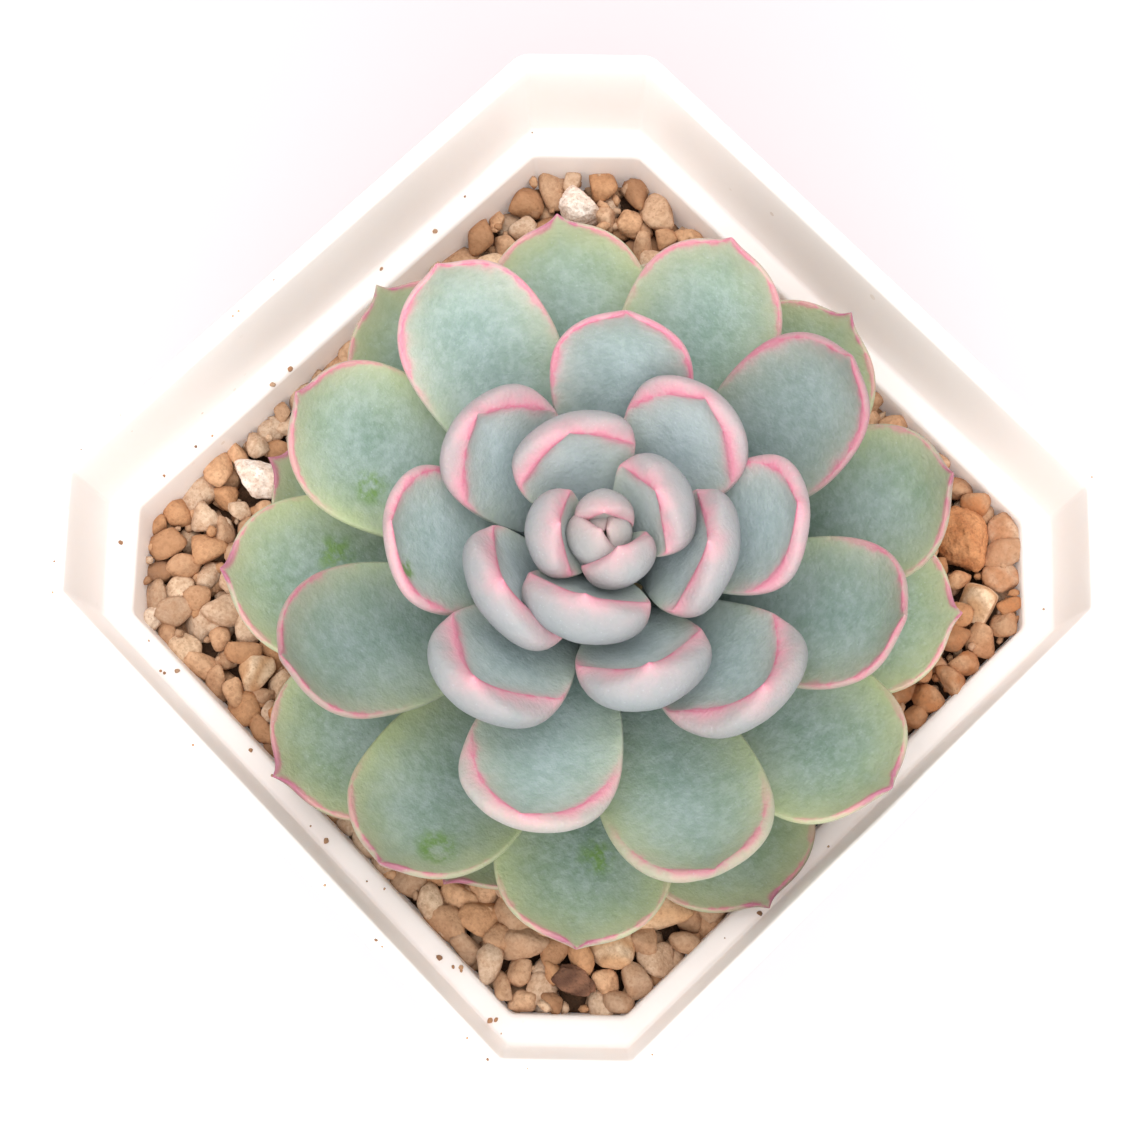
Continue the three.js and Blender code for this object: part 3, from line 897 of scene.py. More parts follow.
@dataclass
class Leaf:
    """A thick leaf with a ridge round its face and a small point at the tip.

    Places along it are shares of its length. A pair of sizes holds for old and for young leaves.
    """

    number: int
    count: int
    base: np.ndarray
    tip: np.ndarray
    axis: np.ndarray
    trait: Trait
    seed: int
    grown_width: float = 19.5
    least_width: float = 2.8
    growth_power: float = 0.34
    opening: float = 4.0  # leaves that are still opening
    grown_thickness: float = 6.2
    thickening: float = 6.5
    young_ages: tuple[float, float] = (0.1, 0.5)
    most_youth: float = 1.15
    full_size: float = 11.0  # width from which the ridge has its full size
    sags: tuple[float, float] = (0.02, -0.05)  # of the youngest and the oldest leaf
    curls: tuple[float, float] = (12.0, 8.0)
    widest: float = 0.7
    bluntness: float = 2.4
    foot_share: float = 0.27
    foot_end: float = 0.06
    unevenness: float = 0.012
    shoulder: float = 0.66  # where the ridge leaves the outline
    set_back: float = 0.9  # how far the ridge lies behind the tip
    edges: tuple[float, float] = (0.3, 0.26)  # least distance from ridge to outline
    ridge_heights: tuple[float, float] = (0.45, 1.25)
    hollows: tuple[float, float] = (1.25, 0.7)
    backs: tuple[float, float] = (0.72, 0.78)  # share of the thickness that is under the middle line
    foot_plumpness: float = 0.3
    tip_thinning: tuple[float, float] = (0.72, 0.2)
    ripple: float = 0.16
    points: tuple[float, float] = (0.8, 2.3)  # length of the youngest and the oldest leaf's point
    point_radius: float = 0.8
    spine_steps: int = 240
    outline_steps: int = 60
    face_steps: int = 14
    rim_steps: int = 7
    back_steps: int = 11

    @property
    def age(self) -> float:
        """0 youngest, 1 oldest."""
        return self.number / self.count

    @property
    def width(self) -> float:
        """The leaf's greatest width."""
        opened = 1.0 - math.exp(-((self.number / self.opening) ** 1.5))
        grown = self.grown_width * self.age**self.growth_power * opened
        return max(self.least_width, grown) * self.trait.width

    @property
    def youth(self) -> float:
        """1 in the plump leaves of the middle, 0 in flat outer ones."""
        flattened = float(smooth(self.age, *self.young_ages))
        return min(max(1.0 - flattened + self.trait.puff, 0.0), self.most_youth)

    @property
    def thickness(self) -> float:
        """The leaf's greatest thickness."""
        return self.grown_thickness * (1.0 - math.exp(-self.width / self.thickening))

    @property
    def size(self) -> float:
        """How much of its full size the ridge has."""
        return min(1.0, self.width / self.full_size)

    @property
    def out(self) -> np.ndarray:
        """The level direction from the stem to the tip."""
        out = self.tip[:2] - self.axis[:2]
        return np.array([*(out / np.linalg.norm(out)), 0.0])

    @property
    def side(self) -> np.ndarray:
        """The level direction across the leaf."""
        return np.array([-self.out[1], self.out[0], 0.0])

    def spine(self) -> Spine:
        """The leaf's middle line from base to tip, at even steps."""
        steps = np.linspace(0.0, 1.0, self.spine_steps + 1)
        sag = mix(*self.sags, self.age)
        curl = math.radians(mix(*self.curls, self.youth) + self.trait.curl)
        angle = math.atan(2.0 * sag) * (2.0 * steps - 1.0) + curl * smooth(steps, self.widest, 1.02)
        middle = (angle[1:] + angle[:-1]) / 2.0
        line = np.zeros((len(steps), 2))
        line[1:, 0] = np.cumsum(np.cos(middle)) * steps[1]
        line[1:, 1] = np.cumsum(np.sin(middle)) * steps[1]
        chord = np.array([(self.tip - self.base) @ self.out, self.tip[2] - self.base[2]])
        length = np.linalg.norm(chord) / np.linalg.norm(line[-1])
        turn = math.atan2(chord[1], chord[0]) - math.atan2(line[-1, 1], line[-1, 0])
        cos, sin = math.cos(turn), math.sin(turn)
        normal = np.stack([-np.sin(angle + turn), np.cos(angle + turn)], -1)
        return Spine(line @ np.array([[cos, sin], [-sin, cos]]) * length, normal, length)

    def half_outline(self, length: float) -> tuple[np.ndarray, np.ndarray]:
        """One side of the leaf's outline from base to tip, with its points closer near the tip.

        Args:
            length: the leaf's length.

        Returns:
            Places along the leaf, and half widths in millimetres.
        """
        ends = (1.0 - np.cos(np.linspace(0.0, math.pi, 900))) / 2.0
        rise = smooth(ends, 0.0, self.widest) * (1.0 - self.foot_share) + self.foot_share
        beyond = np.clip((ends - self.widest) / (1.0 - self.widest), 0.0, 1.0)
        share = np.where(ends < self.widest, rise, np.sqrt(1.0 - beyond**self.bluntness))
        foot = np.sqrt(1.0 - (1.0 - np.clip(ends / self.foot_end, 0.0, 1.0)) ** 2)
        half = self.width / 2.0 * share * foot
        run = np.concatenate([[0.0], np.cumsum(np.hypot(np.diff(ends) * length, np.diff(half)))])
        wanted = 1.0 - (1.0 - np.linspace(0.0, 1.0, self.outline_steps + 1)) ** 1.45
        along = np.interp(wanted * run[-1], run, ends)
        across = np.interp(wanted * run[-1], run, half)
        across[[0, -1]] = 0.0
        return along, across

    def outline(self, length: float, phase: np.ndarray) -> Outline:
        """The leaf's whole outline, slightly uneven.

        Args:
            length: the leaf's length.
            phase: where its waves start.

        Returns:
            The outline.
        """
        half_along, half_across = self.half_outline(length)
        along = np.concatenate([half_along, half_along[-2:0:-1]])
        across = np.concatenate([half_across, -half_across[-2:0:-1]])
        lobes = np.sin(along * 9.0 + phase[0]) + 0.6 * np.sin(along * 17.0 + phase[1])
        across = across * (1.0 + self.unevenness * lobes * np.sign(across + TINY))
        middle = np.where(along > self.widest, self.widest + (along - self.widest) * 0.5, along)
        middle = np.where(along < self.foot_end, (self.foot_end + along) * 0.5, middle)
        reach = np.maximum(np.hypot((along - middle) * length, across), 1e-6)
        return Outline(along, across, middle, reach)

    def ridge(self, outline: Outline, length: float) -> np.ndarray:
        """Where the ridge is, as a share of the way from the middle to the outline.

        In young leaves it leaves the outline at the shoulders and runs straight to a place behind the tip.

        Args:
            outline: the leaf's outline.
            length: the leaf's length.

        Returns:
            A share for each point of the outline.
        """
        along, across, middle, reach = outline.along, outline.across, outline.middle, outline.reach
        edge = mix(*self.edges, self.youth) * self.size
        thin = 1.0 - np.minimum(edge, 0.5 * reach) / reach
        corner = np.interp(self.shoulder, *self.half_outline(length))
        room = 1.0 - self.shoulder - self.set_back * self.size / length
        chord = (room + self.shoulder - middle) / (np.abs(across) / corner * room + along - middle + TINY)
        folded = np.where(along > self.shoulder, np.clip(chord, 0.4, thin), thin)
        return mix(thin, folded, min(1.0, 1.15 * self.youth))

    def section(self, outline: Outline, ridge: np.ndarray) -> tuple[np.ndarray, np.ndarray]:
        """The leaf's sections, from the middle over the ridge and the rim to the middle of the back.

        Args:
            outline: the leaf's outline.
            ridge: where the ridge is.

        Returns:
            Shares of the way to the outline, and heights over the middle line.
        """
        young, middle = self.youth, outline.middle
        thinning = mix(*self.tip_thinning, young) * smooth(middle, 0.5, 0.9)
        plump = self.foot_plumpness + (1.0 - self.foot_plumpness) * smooth(middle, 0.0, 0.5) - thinning
        ridge_height = mix(*self.ridge_heights, young) * self.size * smooth(middle, 0.02, 0.4)
        hollow = mix(*self.hollows, young) * self.size * smooth(middle, 0.12, 0.6)
        back = self.thickness * mix(*self.backs, young) * plump
        face = np.linspace(0.0, 1.0, self.face_steps + 1)[None, :] ** 0.8
        rim = np.linspace(0.0, math.pi / 2, self.rim_steps + 1)[None, 1:]
        under = np.linspace(0.0, math.pi / 2, self.back_steps + 1)[None, 1:]
        shares = [column(ridge) * face, column(ridge) + column(1 - ridge) * np.sin(rim)]
        shares.append(np.cos(under) + 0 * column(ridge))
        heights = [column(ridge_height - hollow) + column(hollow) * face**2.4]
        heights.append(column(ridge_height) * np.cos(rim) ** 0.9)
        heights.append(-column(back) * np.sin(under) ** 0.92)
        return np.concatenate(shares, 1), np.concatenate(heights, 1)

    def placed(self, spine: Spine, along: np.ndarray, across: np.ndarray, high: np.ndarray) -> np.ndarray:
        """The leaf's points in the pot's frame, with the tip drawn out to a point.

        Args:
            spine: the middle line.
            along: places along the leaf.
            across: distances across it.
            high: heights over the middle line.

        Returns:
            Points in millimetres, in a grid like the arguments.
        """
        places = np.linspace(0.0, 1.0, len(spine.line))
        line = np.stack([np.interp(along, places, spine.line[:, i]) for i in (0, 1)], -1)
        up = np.stack([np.interp(along, places, spine.normal[:, i]) for i in (0, 1)], -1)
        up /= np.linalg.norm(up, axis=-1, keepdims=True)
        roll = math.radians(self.trait.roll) * smooth(along, 0.0, 0.8)
        rolled = across * np.cos(roll) - high * np.sin(roll)
        flat = line + up * (across * np.sin(roll) + high * np.cos(roll))[..., None]
        upwards = np.array([0.0, 0.0, 1.0])
        in_plane = flat[..., :1] * self.out + flat[..., 1:] * upwards
        points = self.base + in_plane + rolled[..., None] * self.side
        tip = points[self.outline_steps, self.face_steps]
        away = np.linalg.norm(points - tip, axis=-1)
        reach = mix(*self.points, self.age) * min(1.0, self.width / 8.0)
        pull = reach * np.exp(-((away / self.point_radius) ** 1.2))
        end = spine.line[-1] - spine.line[-9]
        lean = end / np.linalg.norm(end) * 0.8 + spine.normal[-1] * 0.45
        return points + pull[..., None] * (lean[0] * self.out + lean[1] * upwards)

    def rubbed(self, along: np.ndarray, across: np.ndarray, length: float) -> np.ndarray:
        """1 where the bloom is rubbed off.

        Args:
            along: places along the leaf.
            across: distances across it.
            length: the leaf's length.

        Returns:
            A share for each point.
        """
        rub = np.zeros_like(along)
        for place, over, radius in self.trait.rubs:
            gap = np.hypot((along - place) * length, across - over * self.width / 2.0)
            rub = np.maximum(rub, 1.0 - smooth(gap, radius * 0.4, radius))
        return rub

    def surface(self) -> tuple[np.ndarray, dict[Trace, np.ndarray]]:
        """The leaf on a grid of rows round its outline and columns from face to back.

        Returns:
            Its points, and the values that its material reads.
        """
        phase = np.random.default_rng(self.seed).uniform(0.0, FULL_TURN, 4)
        spine = self.spine()
        outline = self.outline(spine.length, phase)
        rho, high = self.section(outline, self.ridge(outline, spine.length))
        along = column(outline.middle) + rho * column(outline.along - outline.middle)
        across = rho * column(outline.across)
        ripple = self.ripple * self.size * np.sin(along * 13.0 + across * 0.5 + phase[2]) * rho**2
        high = high + ripple * (1.0 - self.youth * 0.5)
        points = self.placed(spine, along, across, high)
        ridge = points[:, self.face_steps][smooth(outline.middle, 0.2, 0.4) > 0.5]
        cells = points.reshape(-1, 3)
        margin = np.sqrt(((cells[:, None, :] - ridge[None]) ** 2).sum(-1)).min(1)
        face = np.concatenate([np.ones(self.face_steps), [0.5], np.zeros(self.rim_steps + self.back_steps)])
        return cells, {
            Trace.MARGIN: margin,
            Trace.FACE: np.broadcast_to(face, along.shape).reshape(-1),
            Trace.ALONG: along.reshape(-1),
            Trace.AGE: np.full(along.size, self.age),
            Trace.RUB: (self.rubbed(along, across, spine.length) * face).reshape(-1),
            # Per-leaf brightness: partly its own colour, partly painted light and shade.
            Trace.TONE_AND_PAINTED_LIGHT: np.full(along.size, self.trait.tone_and_painted_light),
        }

    def build(self, material: bpy.types.Material) -> bpy.types.Object:
        """Makes the leaf in place of its CAD node."""
        points, traces = self.surface()
        rows = 2 * self.outline_steps
        kept, faces = weld(points, grid_faces(rows, len(points) // rows))
        traces = {trace: values[kept] for trace, values in traces.items()}
        name = f"leaf_{self.number:02d}"
        return make_piece(f"skin_{name}", points[kept], faces, material, (name,), traces)


@dataclass
class Rosette:
    """All leaves on one stem."""

    count: int = 45
    closing: float = 0.7  # how far the tips of the first leaves lean inwards
    least_foot: float = 0.5
    foot_share: float = 0.36  # how far out a leaf may start, as a share of its reach
    foot_gap: float = 1.3
    lift: float = 0.3  # how much higher young leaves start, as a share of their rise
    lifted: tuple[int, int] = (3, 14)  # leaves over which the lift ends
    first_seed: int = 100
    # A trait's brightness factor is partly the leaf's own colour and partly painted light and shade.
    traits: dict[int, Trait] = field(default_factory=lambda: {
        1: Trait(width=1.5),
        2: Trait(width=1.6),
        3: Trait(width=1.75),
        4: Trait(width=1.05),
        5: Trait(width=1.05),
        6: Trait(width=1.05),
        7: Trait(width=1.1, roll=-6.0),
        8: Trait(width=1.2, puff=0.15),
        9: Trait(width=1.12, puff=-0.2),
        10: Trait(width=1.1),
        11: Trait(width=1.1, puff=0.1),
        12: Trait(width=1.05, puff=-0.15),
        13: Trait(puff=0.45, curl=12.0),
        14: Trait(puff=0.1),
        15: Trait(puff=-0.1),
        16: Trait(puff=0.5, curl=12.0),
        17: Trait(puff=-0.3, curl=-4.0),
        18: Trait(puff=0.5, curl=14.0, tone_and_painted_light=0.95),
        19: Trait(puff=0.05, tone_and_painted_light=1.05, rubs=((0.88, 0.5, 1.6),)),
        20: Trait(tone_and_painted_light=0.72),
        21: Trait(puff=0.35, curl=10.0, tone_and_painted_light=1.1),
        22: Trait(tone_and_painted_light=1.1),
        23: Trait(tone_and_painted_light=0.8),
        24: Trait(tone_and_painted_light=0.72),
        25: Trait(tone_and_painted_light=1.05),
        26: Trait(puff=0.15, curl=6.0, tone_and_painted_light=0.9),
        27: Trait(tone_and_painted_light=1.0, rubs=((0.67, 0.46, 2.2),)),
        28: Trait(tone_and_painted_light=0.8),
        29: Trait(tone_and_painted_light=0.78, rubs=((0.86, 0.35, 2.6),)),
        30: Trait(tone_and_painted_light=1.15),
        31: Trait(tone_and_painted_light=0.95),
        32: Trait(tone_and_painted_light=1.0, rubs=((0.68, -0.3, 2.6),)),
        34: Trait(tone_and_painted_light=0.95, rubs=((0.72, 0.15, 2.2),)),
        36: Trait(tone_and_painted_light=1.2),
    })

    def measure(self, number: int, axis: np.ndarray) -> Leaf:
        """A leaf with the base and the tip of its CAD node.

        Args:
            number: the leaf's number, 1 for the youngest.
            axis: the top of the stem.

        Returns:
            The leaf.
        """
        points = node_points(f"leaf_{number:02d}")
        lowest = points[:, 2].min()
        tip = points[np.linalg.norm(points - [axis[0], axis[1], lowest + 1.0], axis=1).argmax()]
        apart = np.hypot(points[:, 0] - axis[0], points[:, 1] - axis[1])
        base = points[np.argsort(apart + 0.6 * np.abs(points[:, 2] - lowest))[:5]].mean(0)
        out = tip[:2] - axis[:2]
        out = out / np.linalg.norm(out)
        reach = (tip[:2] - axis[:2]) @ out
        foot = max(self.least_foot, (base[:2] - axis[:2]) @ out)
        foot = min(foot, self.foot_share * reach - self.foot_gap)
        lift = self.lift * (tip[2] - base[2]) * (1.0 - float(smooth(number, *self.lifted)))
        base = np.array([*(axis[:2] + out * foot), base[2] + lift])
        tip = tip - np.array([*out, 0.0]) * self.closing * (1.0 - float(smooth(number, 1, 4)))
        trait = self.traits.get(number, Trait())
        return Leaf(number, self.count, base, tip, axis, trait, seed=self.first_seed + number)

    def build(self, material: bpy.types.Material) -> list[bpy.types.Object]:
        """Makes every leaf."""
        stem = node_points("stem")
        axis = stem[stem[:, 2].argmax()]
        return [self.measure(n, axis).build(material) for n in range(1, self.count + 1)]


# ---------------------------------------------------------------- stem


@dataclass
class Stem:
    """The stem with its roots, mostly out of sight."""

    segments: int = 28
    rings: int = 40
    unevenness: float = 0.04
    radii: tuple[float, float, float] = (3.6, 5.0, 2.3)  # at the foot, the waist and the top
    waist: float = 0.4
    top_gap: float = 2.5
    trunk_reach: float = 6.0  # how far from the axis the CAD stem's trunk goes
    root_count: int = 5
    root_length: float = 20.0
    root_radius: float = 1.3
    root_start: float = 4.0  # height over the stem's foot
    root_turn: float = 20.0  # degrees
    root_swerve: float = 17.0  # degrees
    seed: int = 7
    root_seed: int = 20

    def tube(self, centres: np.ndarray, radii: np.ndarray, seed: int) -> tuple[np.ndarray, np.ndarray]:
        """A closed tube with slightly uneven rings.

        Args:
            centres: points of its middle line.
            radii: its radius at each.
            seed: the seed of its unevenness.

        Returns:
            Its points and its quads.
        """
        random = np.random.default_rng(seed)
        tangents = np.gradient(centres, axis=0)
        tangents /= np.linalg.norm(tangents, axis=1, keepdims=True)
        helper = np.array([0.0, 1.0, 0.0]) if abs(tangents[0, 1]) < 0.7 else np.array([1.0, 0.0, 0.0])
        side = np.cross(tangents, helper)
        side /= np.linalg.norm(side, axis=1, keepdims=True)
        up = np.cross(side, tangents)
        turn = np.linspace(0.0, FULL_TURN, self.segments, endpoint=False)
        uneven = 1.0 + self.unevenness * random.standard_normal((self.segments, len(centres)))
        spread = radii[None, :] * uneven
        ring = np.cos(turn)[:, None, None] * side[None] + np.sin(turn)[:, None, None] * up[None]
        points = centres[None] + ring * spread[..., None]
        points[:, 0] = centres[0]
        points[:, -1] = centres[-1]
        return points.reshape(-1, 3), grid_faces(self.segments, len(centres))

    def build(self, material: bpy.types.Material) -> bpy.types.Object:
        """Makes the stem and the roots as one piece."""
        stem = node_points("stem")
        top = stem[stem[:, 2].argmax()]
        trunk = stem[np.hypot(stem[:, 0] - top[0], stem[:, 1] - top[1]) < self.trunk_reach]
        low = trunk[:, 2].min()
        t = np.linspace(0.0, 1.0, self.rings)
        rounding = np.sqrt(np.clip(np.minimum(t, 1.0 - t) * 12.0, 0.0, 1.0))
        radii = np.interp(t, [0.0, self.waist, 1.0], self.radii) * rounding
        height = mix(low, top[2] - self.top_gap, t)
        line = np.column_stack([np.full(self.rings, top[0]), np.full(self.rings, top[1]), height])
        parts = [self.tube(line, radii, self.seed)]
        for i in range(self.root_count):
            angle = math.radians(360.0 / self.root_count * i + self.root_turn)
            swerve = angle + math.radians(self.root_swerve) * t
            distance = 1.0 + (self.root_length - 1.5) * t
            drop = low + self.root_start - 1.5 * t - 12.0 * t**2
            across = [top[0] + distance * np.cos(swerve), top[1] + distance * np.sin(swerve)]
            thin = mix(self.root_radius, self.root_radius / 3.0, t) * np.sqrt(np.clip((1 - t) * 12.0, 0, 1))
            parts.append(self.tube(np.column_stack([*across, drop]), thin, self.root_seed + i))
        points, quads, start = [], [], 0
        for part_points, part_quads in parts:
            points.append(part_points)
            quads.append(part_quads + start)
            start += len(part_points)
        everything = np.concatenate(points)
        kept, faces = weld(everything, np.concatenate(quads))
        tone = {Trace.TONE_AND_PAINTED_LIGHT: smooth(everything[kept, 2], low, top[2])}
        return make_piece("stem_and_roots", everything[kept], faces, material, ("stem",), tone)


# ---------------------------------------------------------------- grit and stones


STONE_FACES = 13
NEAREST_FACE = 0.66  # of a stone's half size
FURTHEST_CORNER = 1.25
STONE_RIPPLE = 0.022


def ball(divisions: int) -> tuple[np.ndarray, np.ndarray]:
    """An evenly divided ball.

    Args:
        divisions: how finely it is divided.

    Returns:
        The directions of its vertices, and its triangles.
    """
    made = bmesh.new()
    bmesh.ops.create_icosphere(made, subdivisions=divisions, radius=1.0)
    directions = np.array([v.co[:] for v in made.verts])
    triangles = np.array([[v.index for v in f.verts] for f in made.faces])
    made.free()
    return directions / np.linalg.norm(directions, axis=1, keepdims=True), triangles


def stone_shapes(random: np.random.Generator, directions: np.ndarray, count: int, sharp: float) -> np.ndarray:
    """Worn, angular stones of about unit half size.

    Args:
        random: the source of chance.
        directions: where to measure each stone.
        count: how many stones.
        sharp: how crisp their edges are.

    Returns:
        Points of each stone, one array per stone.
    """
    planes = random.normal(size=(count, STONE_FACES, 3))
    planes /= np.linalg.norm(planes, axis=2, keepdims=True)
    reach = random.uniform(NEAREST_FACE, 1.0, (count, STONE_FACES))
    towards = np.maximum(np.einsum("vx,cpx->cvp", directions, planes) / reach[:, None, :], 1e-3)
    radius = (towards**sharp).sum(-1) ** (-1.0 / sharp)
    radius = np.minimum(radius, FURTHEST_CORNER)
    wave = random.normal(size=(count, 2, 3)) * 3.2
    phase = random.uniform(0.0, 6.3, (count, 2))
    ripples = np.sin(np.einsum("vx,cpx->cvp", directions, wave) + phase[:, None, :]).sum(-1)
    radius *= 1.0 + STONE_RIPPLE * ripples
    return directions[None] * radius[..., None]


def turned(random: np.random.Generator, shapes: np.ndarray, tilt: float) -> np.ndarray:
    """The shapes turned any way round and tipped.

    Args:
        random: the source of chance.
        shapes: points of each shape.
        tilt: about how far they are tipped, in radians.

    Returns:
        The points after the turn.
    """
    result = []
    for shape in shapes:
        yaw, pitch, tip = random.uniform(0.0, FULL_TURN), *random.normal(0.0, tilt, 2)
        turns = [Matrix.Rotation(angle, 3, axis) for angle, axis in ((yaw, "Z"), (tip, "Y"), (pitch, "X"))]
        result.append(shape @ np.array(turns[0] @ turns[1] @ turns[2]).T)
    return np.array(result)


@dataclass(frozen=True)
class Layer:
    """One sort of grain in the mix."""

    name: str
    count: int
    smallest: float
    largest: float
    sink: float  # how far under the bed's top it lies
    divisions: int
    pieces: int
    spread: float  # how uneven its heights are


@dataclass
class Grit:
    """The gritty mix: a dark body, and grains lying on it."""

    layers: tuple[Layer, ...] = (
        Layer("under", 620, 1.1, 2.1, 1.5, 2, 1, 0.5),
        Layer("fines", 1100, 0.42, 0.85, 0.3, 1, 1, 0.8),
        Layer("top", 620, 1.05, 2.2, -0.5, 3, 5, 0.4),
    )
    sharpness: float = 9.0
    tilt: float = 0.3
    leaf_gap: float = 0.9  # least distance to a leaf, in radii
    earth_edge: tuple[float, float] = (26.0, 33.0)  # where stained grains begin, towards one corner
    settling: int = 70  # rounds of pushing apart
    wall_gap: float = 0.3
    body_drop: float = 2.6
    body_roughness: float = 0.22
    body_sides: float = 58.0  # height up to which its sides are smooth
    body_top: float = 64.5
    body_seed: int = 5
    seed: int = 11
    flat: float = field(init=False)
    slant: float = field(init=False)
    bed: BVHTree = field(init=False)
    leaves: BVHTree = field(init=False)
    taken: np.ndarray = field(init=False)  # place and radius of each loose stone

    def __post_init__(self) -> None:
        """Measures the CAD bed and what lies on it."""
        points = node_points("grit_bed")
        self.flat = points[:, 0].max()
        self.slant = ((points[:, 0] + points[:, 1]) / math.sqrt(2.0)).max()
        self.bed = node_tree_of(["grit_bed"])
        self.leaves = node_tree_of([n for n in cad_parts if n.startswith("leaf_")])
        loose = ("pumice", "stone", "clump", "pebble", "bark")
        boxes = [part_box(name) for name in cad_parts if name.startswith(loose)]
        middles = [(low + high) / 2.0 / MM for low, high in boxes]
        radii = [(high - low).x / 2.0 / MM for low, high in boxes]
        self.taken = np.array([[middle.x, middle.y, radius] for middle, radius in zip(middles, radii)])

    def height(self, x: float, y: float) -> float:
        """Height of the CAD bed's top at a place."""
        hit = self.bed.ray_cast(Vector((x, y, 90.0)), Vector((0.0, 0.0, -1.0)))
        return hit[0].z if hit[0] is not None else 61.0

    def settle(self, random: np.random.Generator, radii: np.ndarray) -> np.ndarray:
        """Finds places where discs hardly overlap each other or the loose stones.

        Args:
            random: the source of chance.
            radii: the discs' radii.

        Returns:
            A place for each.
        """
        count = len(radii)
        places = random.uniform(-self.flat, self.flat, (count, 2))
        circles = np.concatenate([radii * 0.9, self.taken[:, 2] * 0.92])
        share = np.concatenate([np.full(count, 0.42), np.full(len(self.taken), 0.9)])
        for _ in range(self.settling):
            every = np.concatenate([places, self.taken[:, :2]])
            gap = places[:, None, :] - every[None]
            apart = np.maximum(np.linalg.norm(gap, axis=2), 1e-3)
            wanted = circles[:count, None] + circles[None, :]
            push = np.clip(wanted - apart, 0.0, None) / apart
            push[np.arange(count), np.arange(count)] = 0.0
            places = places + (gap * (push * share[None, :])[..., None]).sum(1)
            places = self.kept_inside(places, radii * 0.75)
        return places

    def kept_inside(self, places: np.ndarray, margin: np.ndarray) -> np.ndarray:
        """Moves places to inside the pot's walls.

        Args:
            places: where the grains are.
            margin: how far from the walls each has to be.

        Returns:
            The places after the move.
        """
        limit = (self.flat - margin)[:, None]
        places = np.clip(places, -limit, limit)
        over = np.abs(places).sum(1) / math.sqrt(2.0) - (self.slant - margin)
        return places - np.sign(places) * (np.clip(over, 0.0, None) / math.sqrt(2.0))[:, None]

    def grains(self, layer: Layer, random: np.random.Generator, directions: np.ndarray) -> list[list[tuple]]:
        """The grains of one layer, without those that would touch a leaf.

        Args:
            layer: the layer.
            random: the source of chance.
            directions: where to measure each grain.

        Returns:
            Points, tone and stain of each grain, in one list per piece.
        """
        usual = mix(layer.smallest, layer.largest, 0.35)
        radii = random.triangular(layer.smallest, usual, layer.largest, layer.count)
        places = self.settle(random, radii)
        shapes = stone_shapes(random, directions, layer.count, self.sharpness)
        ratios = np.column_stack([
            random.uniform(low, high, layer.count) for low, high in ((0.95, 1.35), (0.78, 1.0), (0.62, 0.9))
        ])
        shapes = turned(random, shapes * (ratios * radii[:, None])[:, None, :], self.tilt)
        tones = random.beta(2.6, 2.2, layer.count)
        jitter = random.normal(0.0, layer.spread, layer.count)
        parts: list[list[tuple]] = [[] for _ in range(layer.pieces)]
        for i, (x, y) in enumerate(places):
            z = self.height(x, y) - layer.sink - 0.2 * radii[i] + jitter[i]
            near = self.leaves.find_nearest(Vector((x, y, z)))
            if near[3] is not None and near[3] < radii[i] * self.leaf_gap:
                continue
            corner = (x + y) / math.sqrt(2.0)
            earth = float(smooth(corner + 0.12 * (x - y), *self.earth_edge)) * random.uniform(0.3, 1.0)
            parts[i % layer.pieces].append((shapes[i] + [x, y, z], tones[i], earth))
        return parts

    def grow(self, layer: Layer, random: np.random.Generator, material: bpy.types.Material) -> None:
        """Makes the pieces of one layer.

        Args:
            layer: the layer.
            random: the source of chance.
            material: the grains' finish.
        """
        directions, triangles = ball(layer.divisions)
        parts = self.grains(layer, random, directions)
        for number, grains in enumerate(parts):
            size = len(directions)
            points = np.concatenate([grain[0] for grain in grains])
            faces = repeated_faces(triangles, size, len(grains))
            traces = {
                Trace.TONE_AND_PAINTED_LIGHT: np.repeat([grain[1] for grain in grains], size),
                Trace.EARTH: np.repeat([grain[2] for grain in grains], size),
            }
            make_piece(f"grit_{layer.name}_{number + 1}", points, faces, material, (), traces)

    def body(self, pot: Pot, material: bpy.types.Material) -> bpy.types.Object:
        """Makes the bulk of the mix, with an uneven top just under the grains.

        Args:
            pot: the pot that it fills.
            material: its finish.

        Returns:
            The new piece.
        """
        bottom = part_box("grit_bed")[0].z / MM
        bed = node_points("grit_bed")
        bottom_half = bed[bed[:, 2] < bottom + 0.5][:, 0].max()
        inset = pot.body_wall + self.wall_gap
        foot = pot.outline(bottom_half + inset, inset)
        edge = pot.outline(self.flat + inset, inset)
        rings = [np.column_stack([foot * share, np.full(pot.around, bottom)]) for share in (0.02, 0.5, 0.96)]
        for t in np.linspace(0.02, 0.98, 8):
            ring = pot.outline(mix(bottom_half, self.flat, t) + inset, inset)
            rings.append(np.column_stack([ring, np.full(pot.around, mix(bottom, self.body_sides, t))]))
        random = np.random.default_rng(self.body_seed)
        for share in np.linspace(1.0, 0.02, 40):
            flat = edge * share
            top = np.array([self.height(x, y) for x, y in flat * 0.985])
            rough = random.normal(0.0, self.body_roughness, len(flat))
            rings.append(np.column_stack([flat, np.minimum(top, self.body_top) - self.body_drop + rough]))
        points = np.stack(rings, 1).reshape(-1, 3)
        faces = capped_faces(pot.around, len(rings))
        tone = {Trace.TONE_AND_PAINTED_LIGHT: random.uniform(0.0, 1.0, len(points))}
        return make_piece("grit_core", points, faces, material, ("grit_bed",), tone)

    def build(self, pot: Pot, grains: bpy.types.Material, core: bpy.types.Material) -> None:
        """Makes the bed and every grain."""
        self.body(pot, core)
        for number, layer in enumerate(self.layers):
            self.grow(layer, np.random.default_rng(self.seed + number), grains)


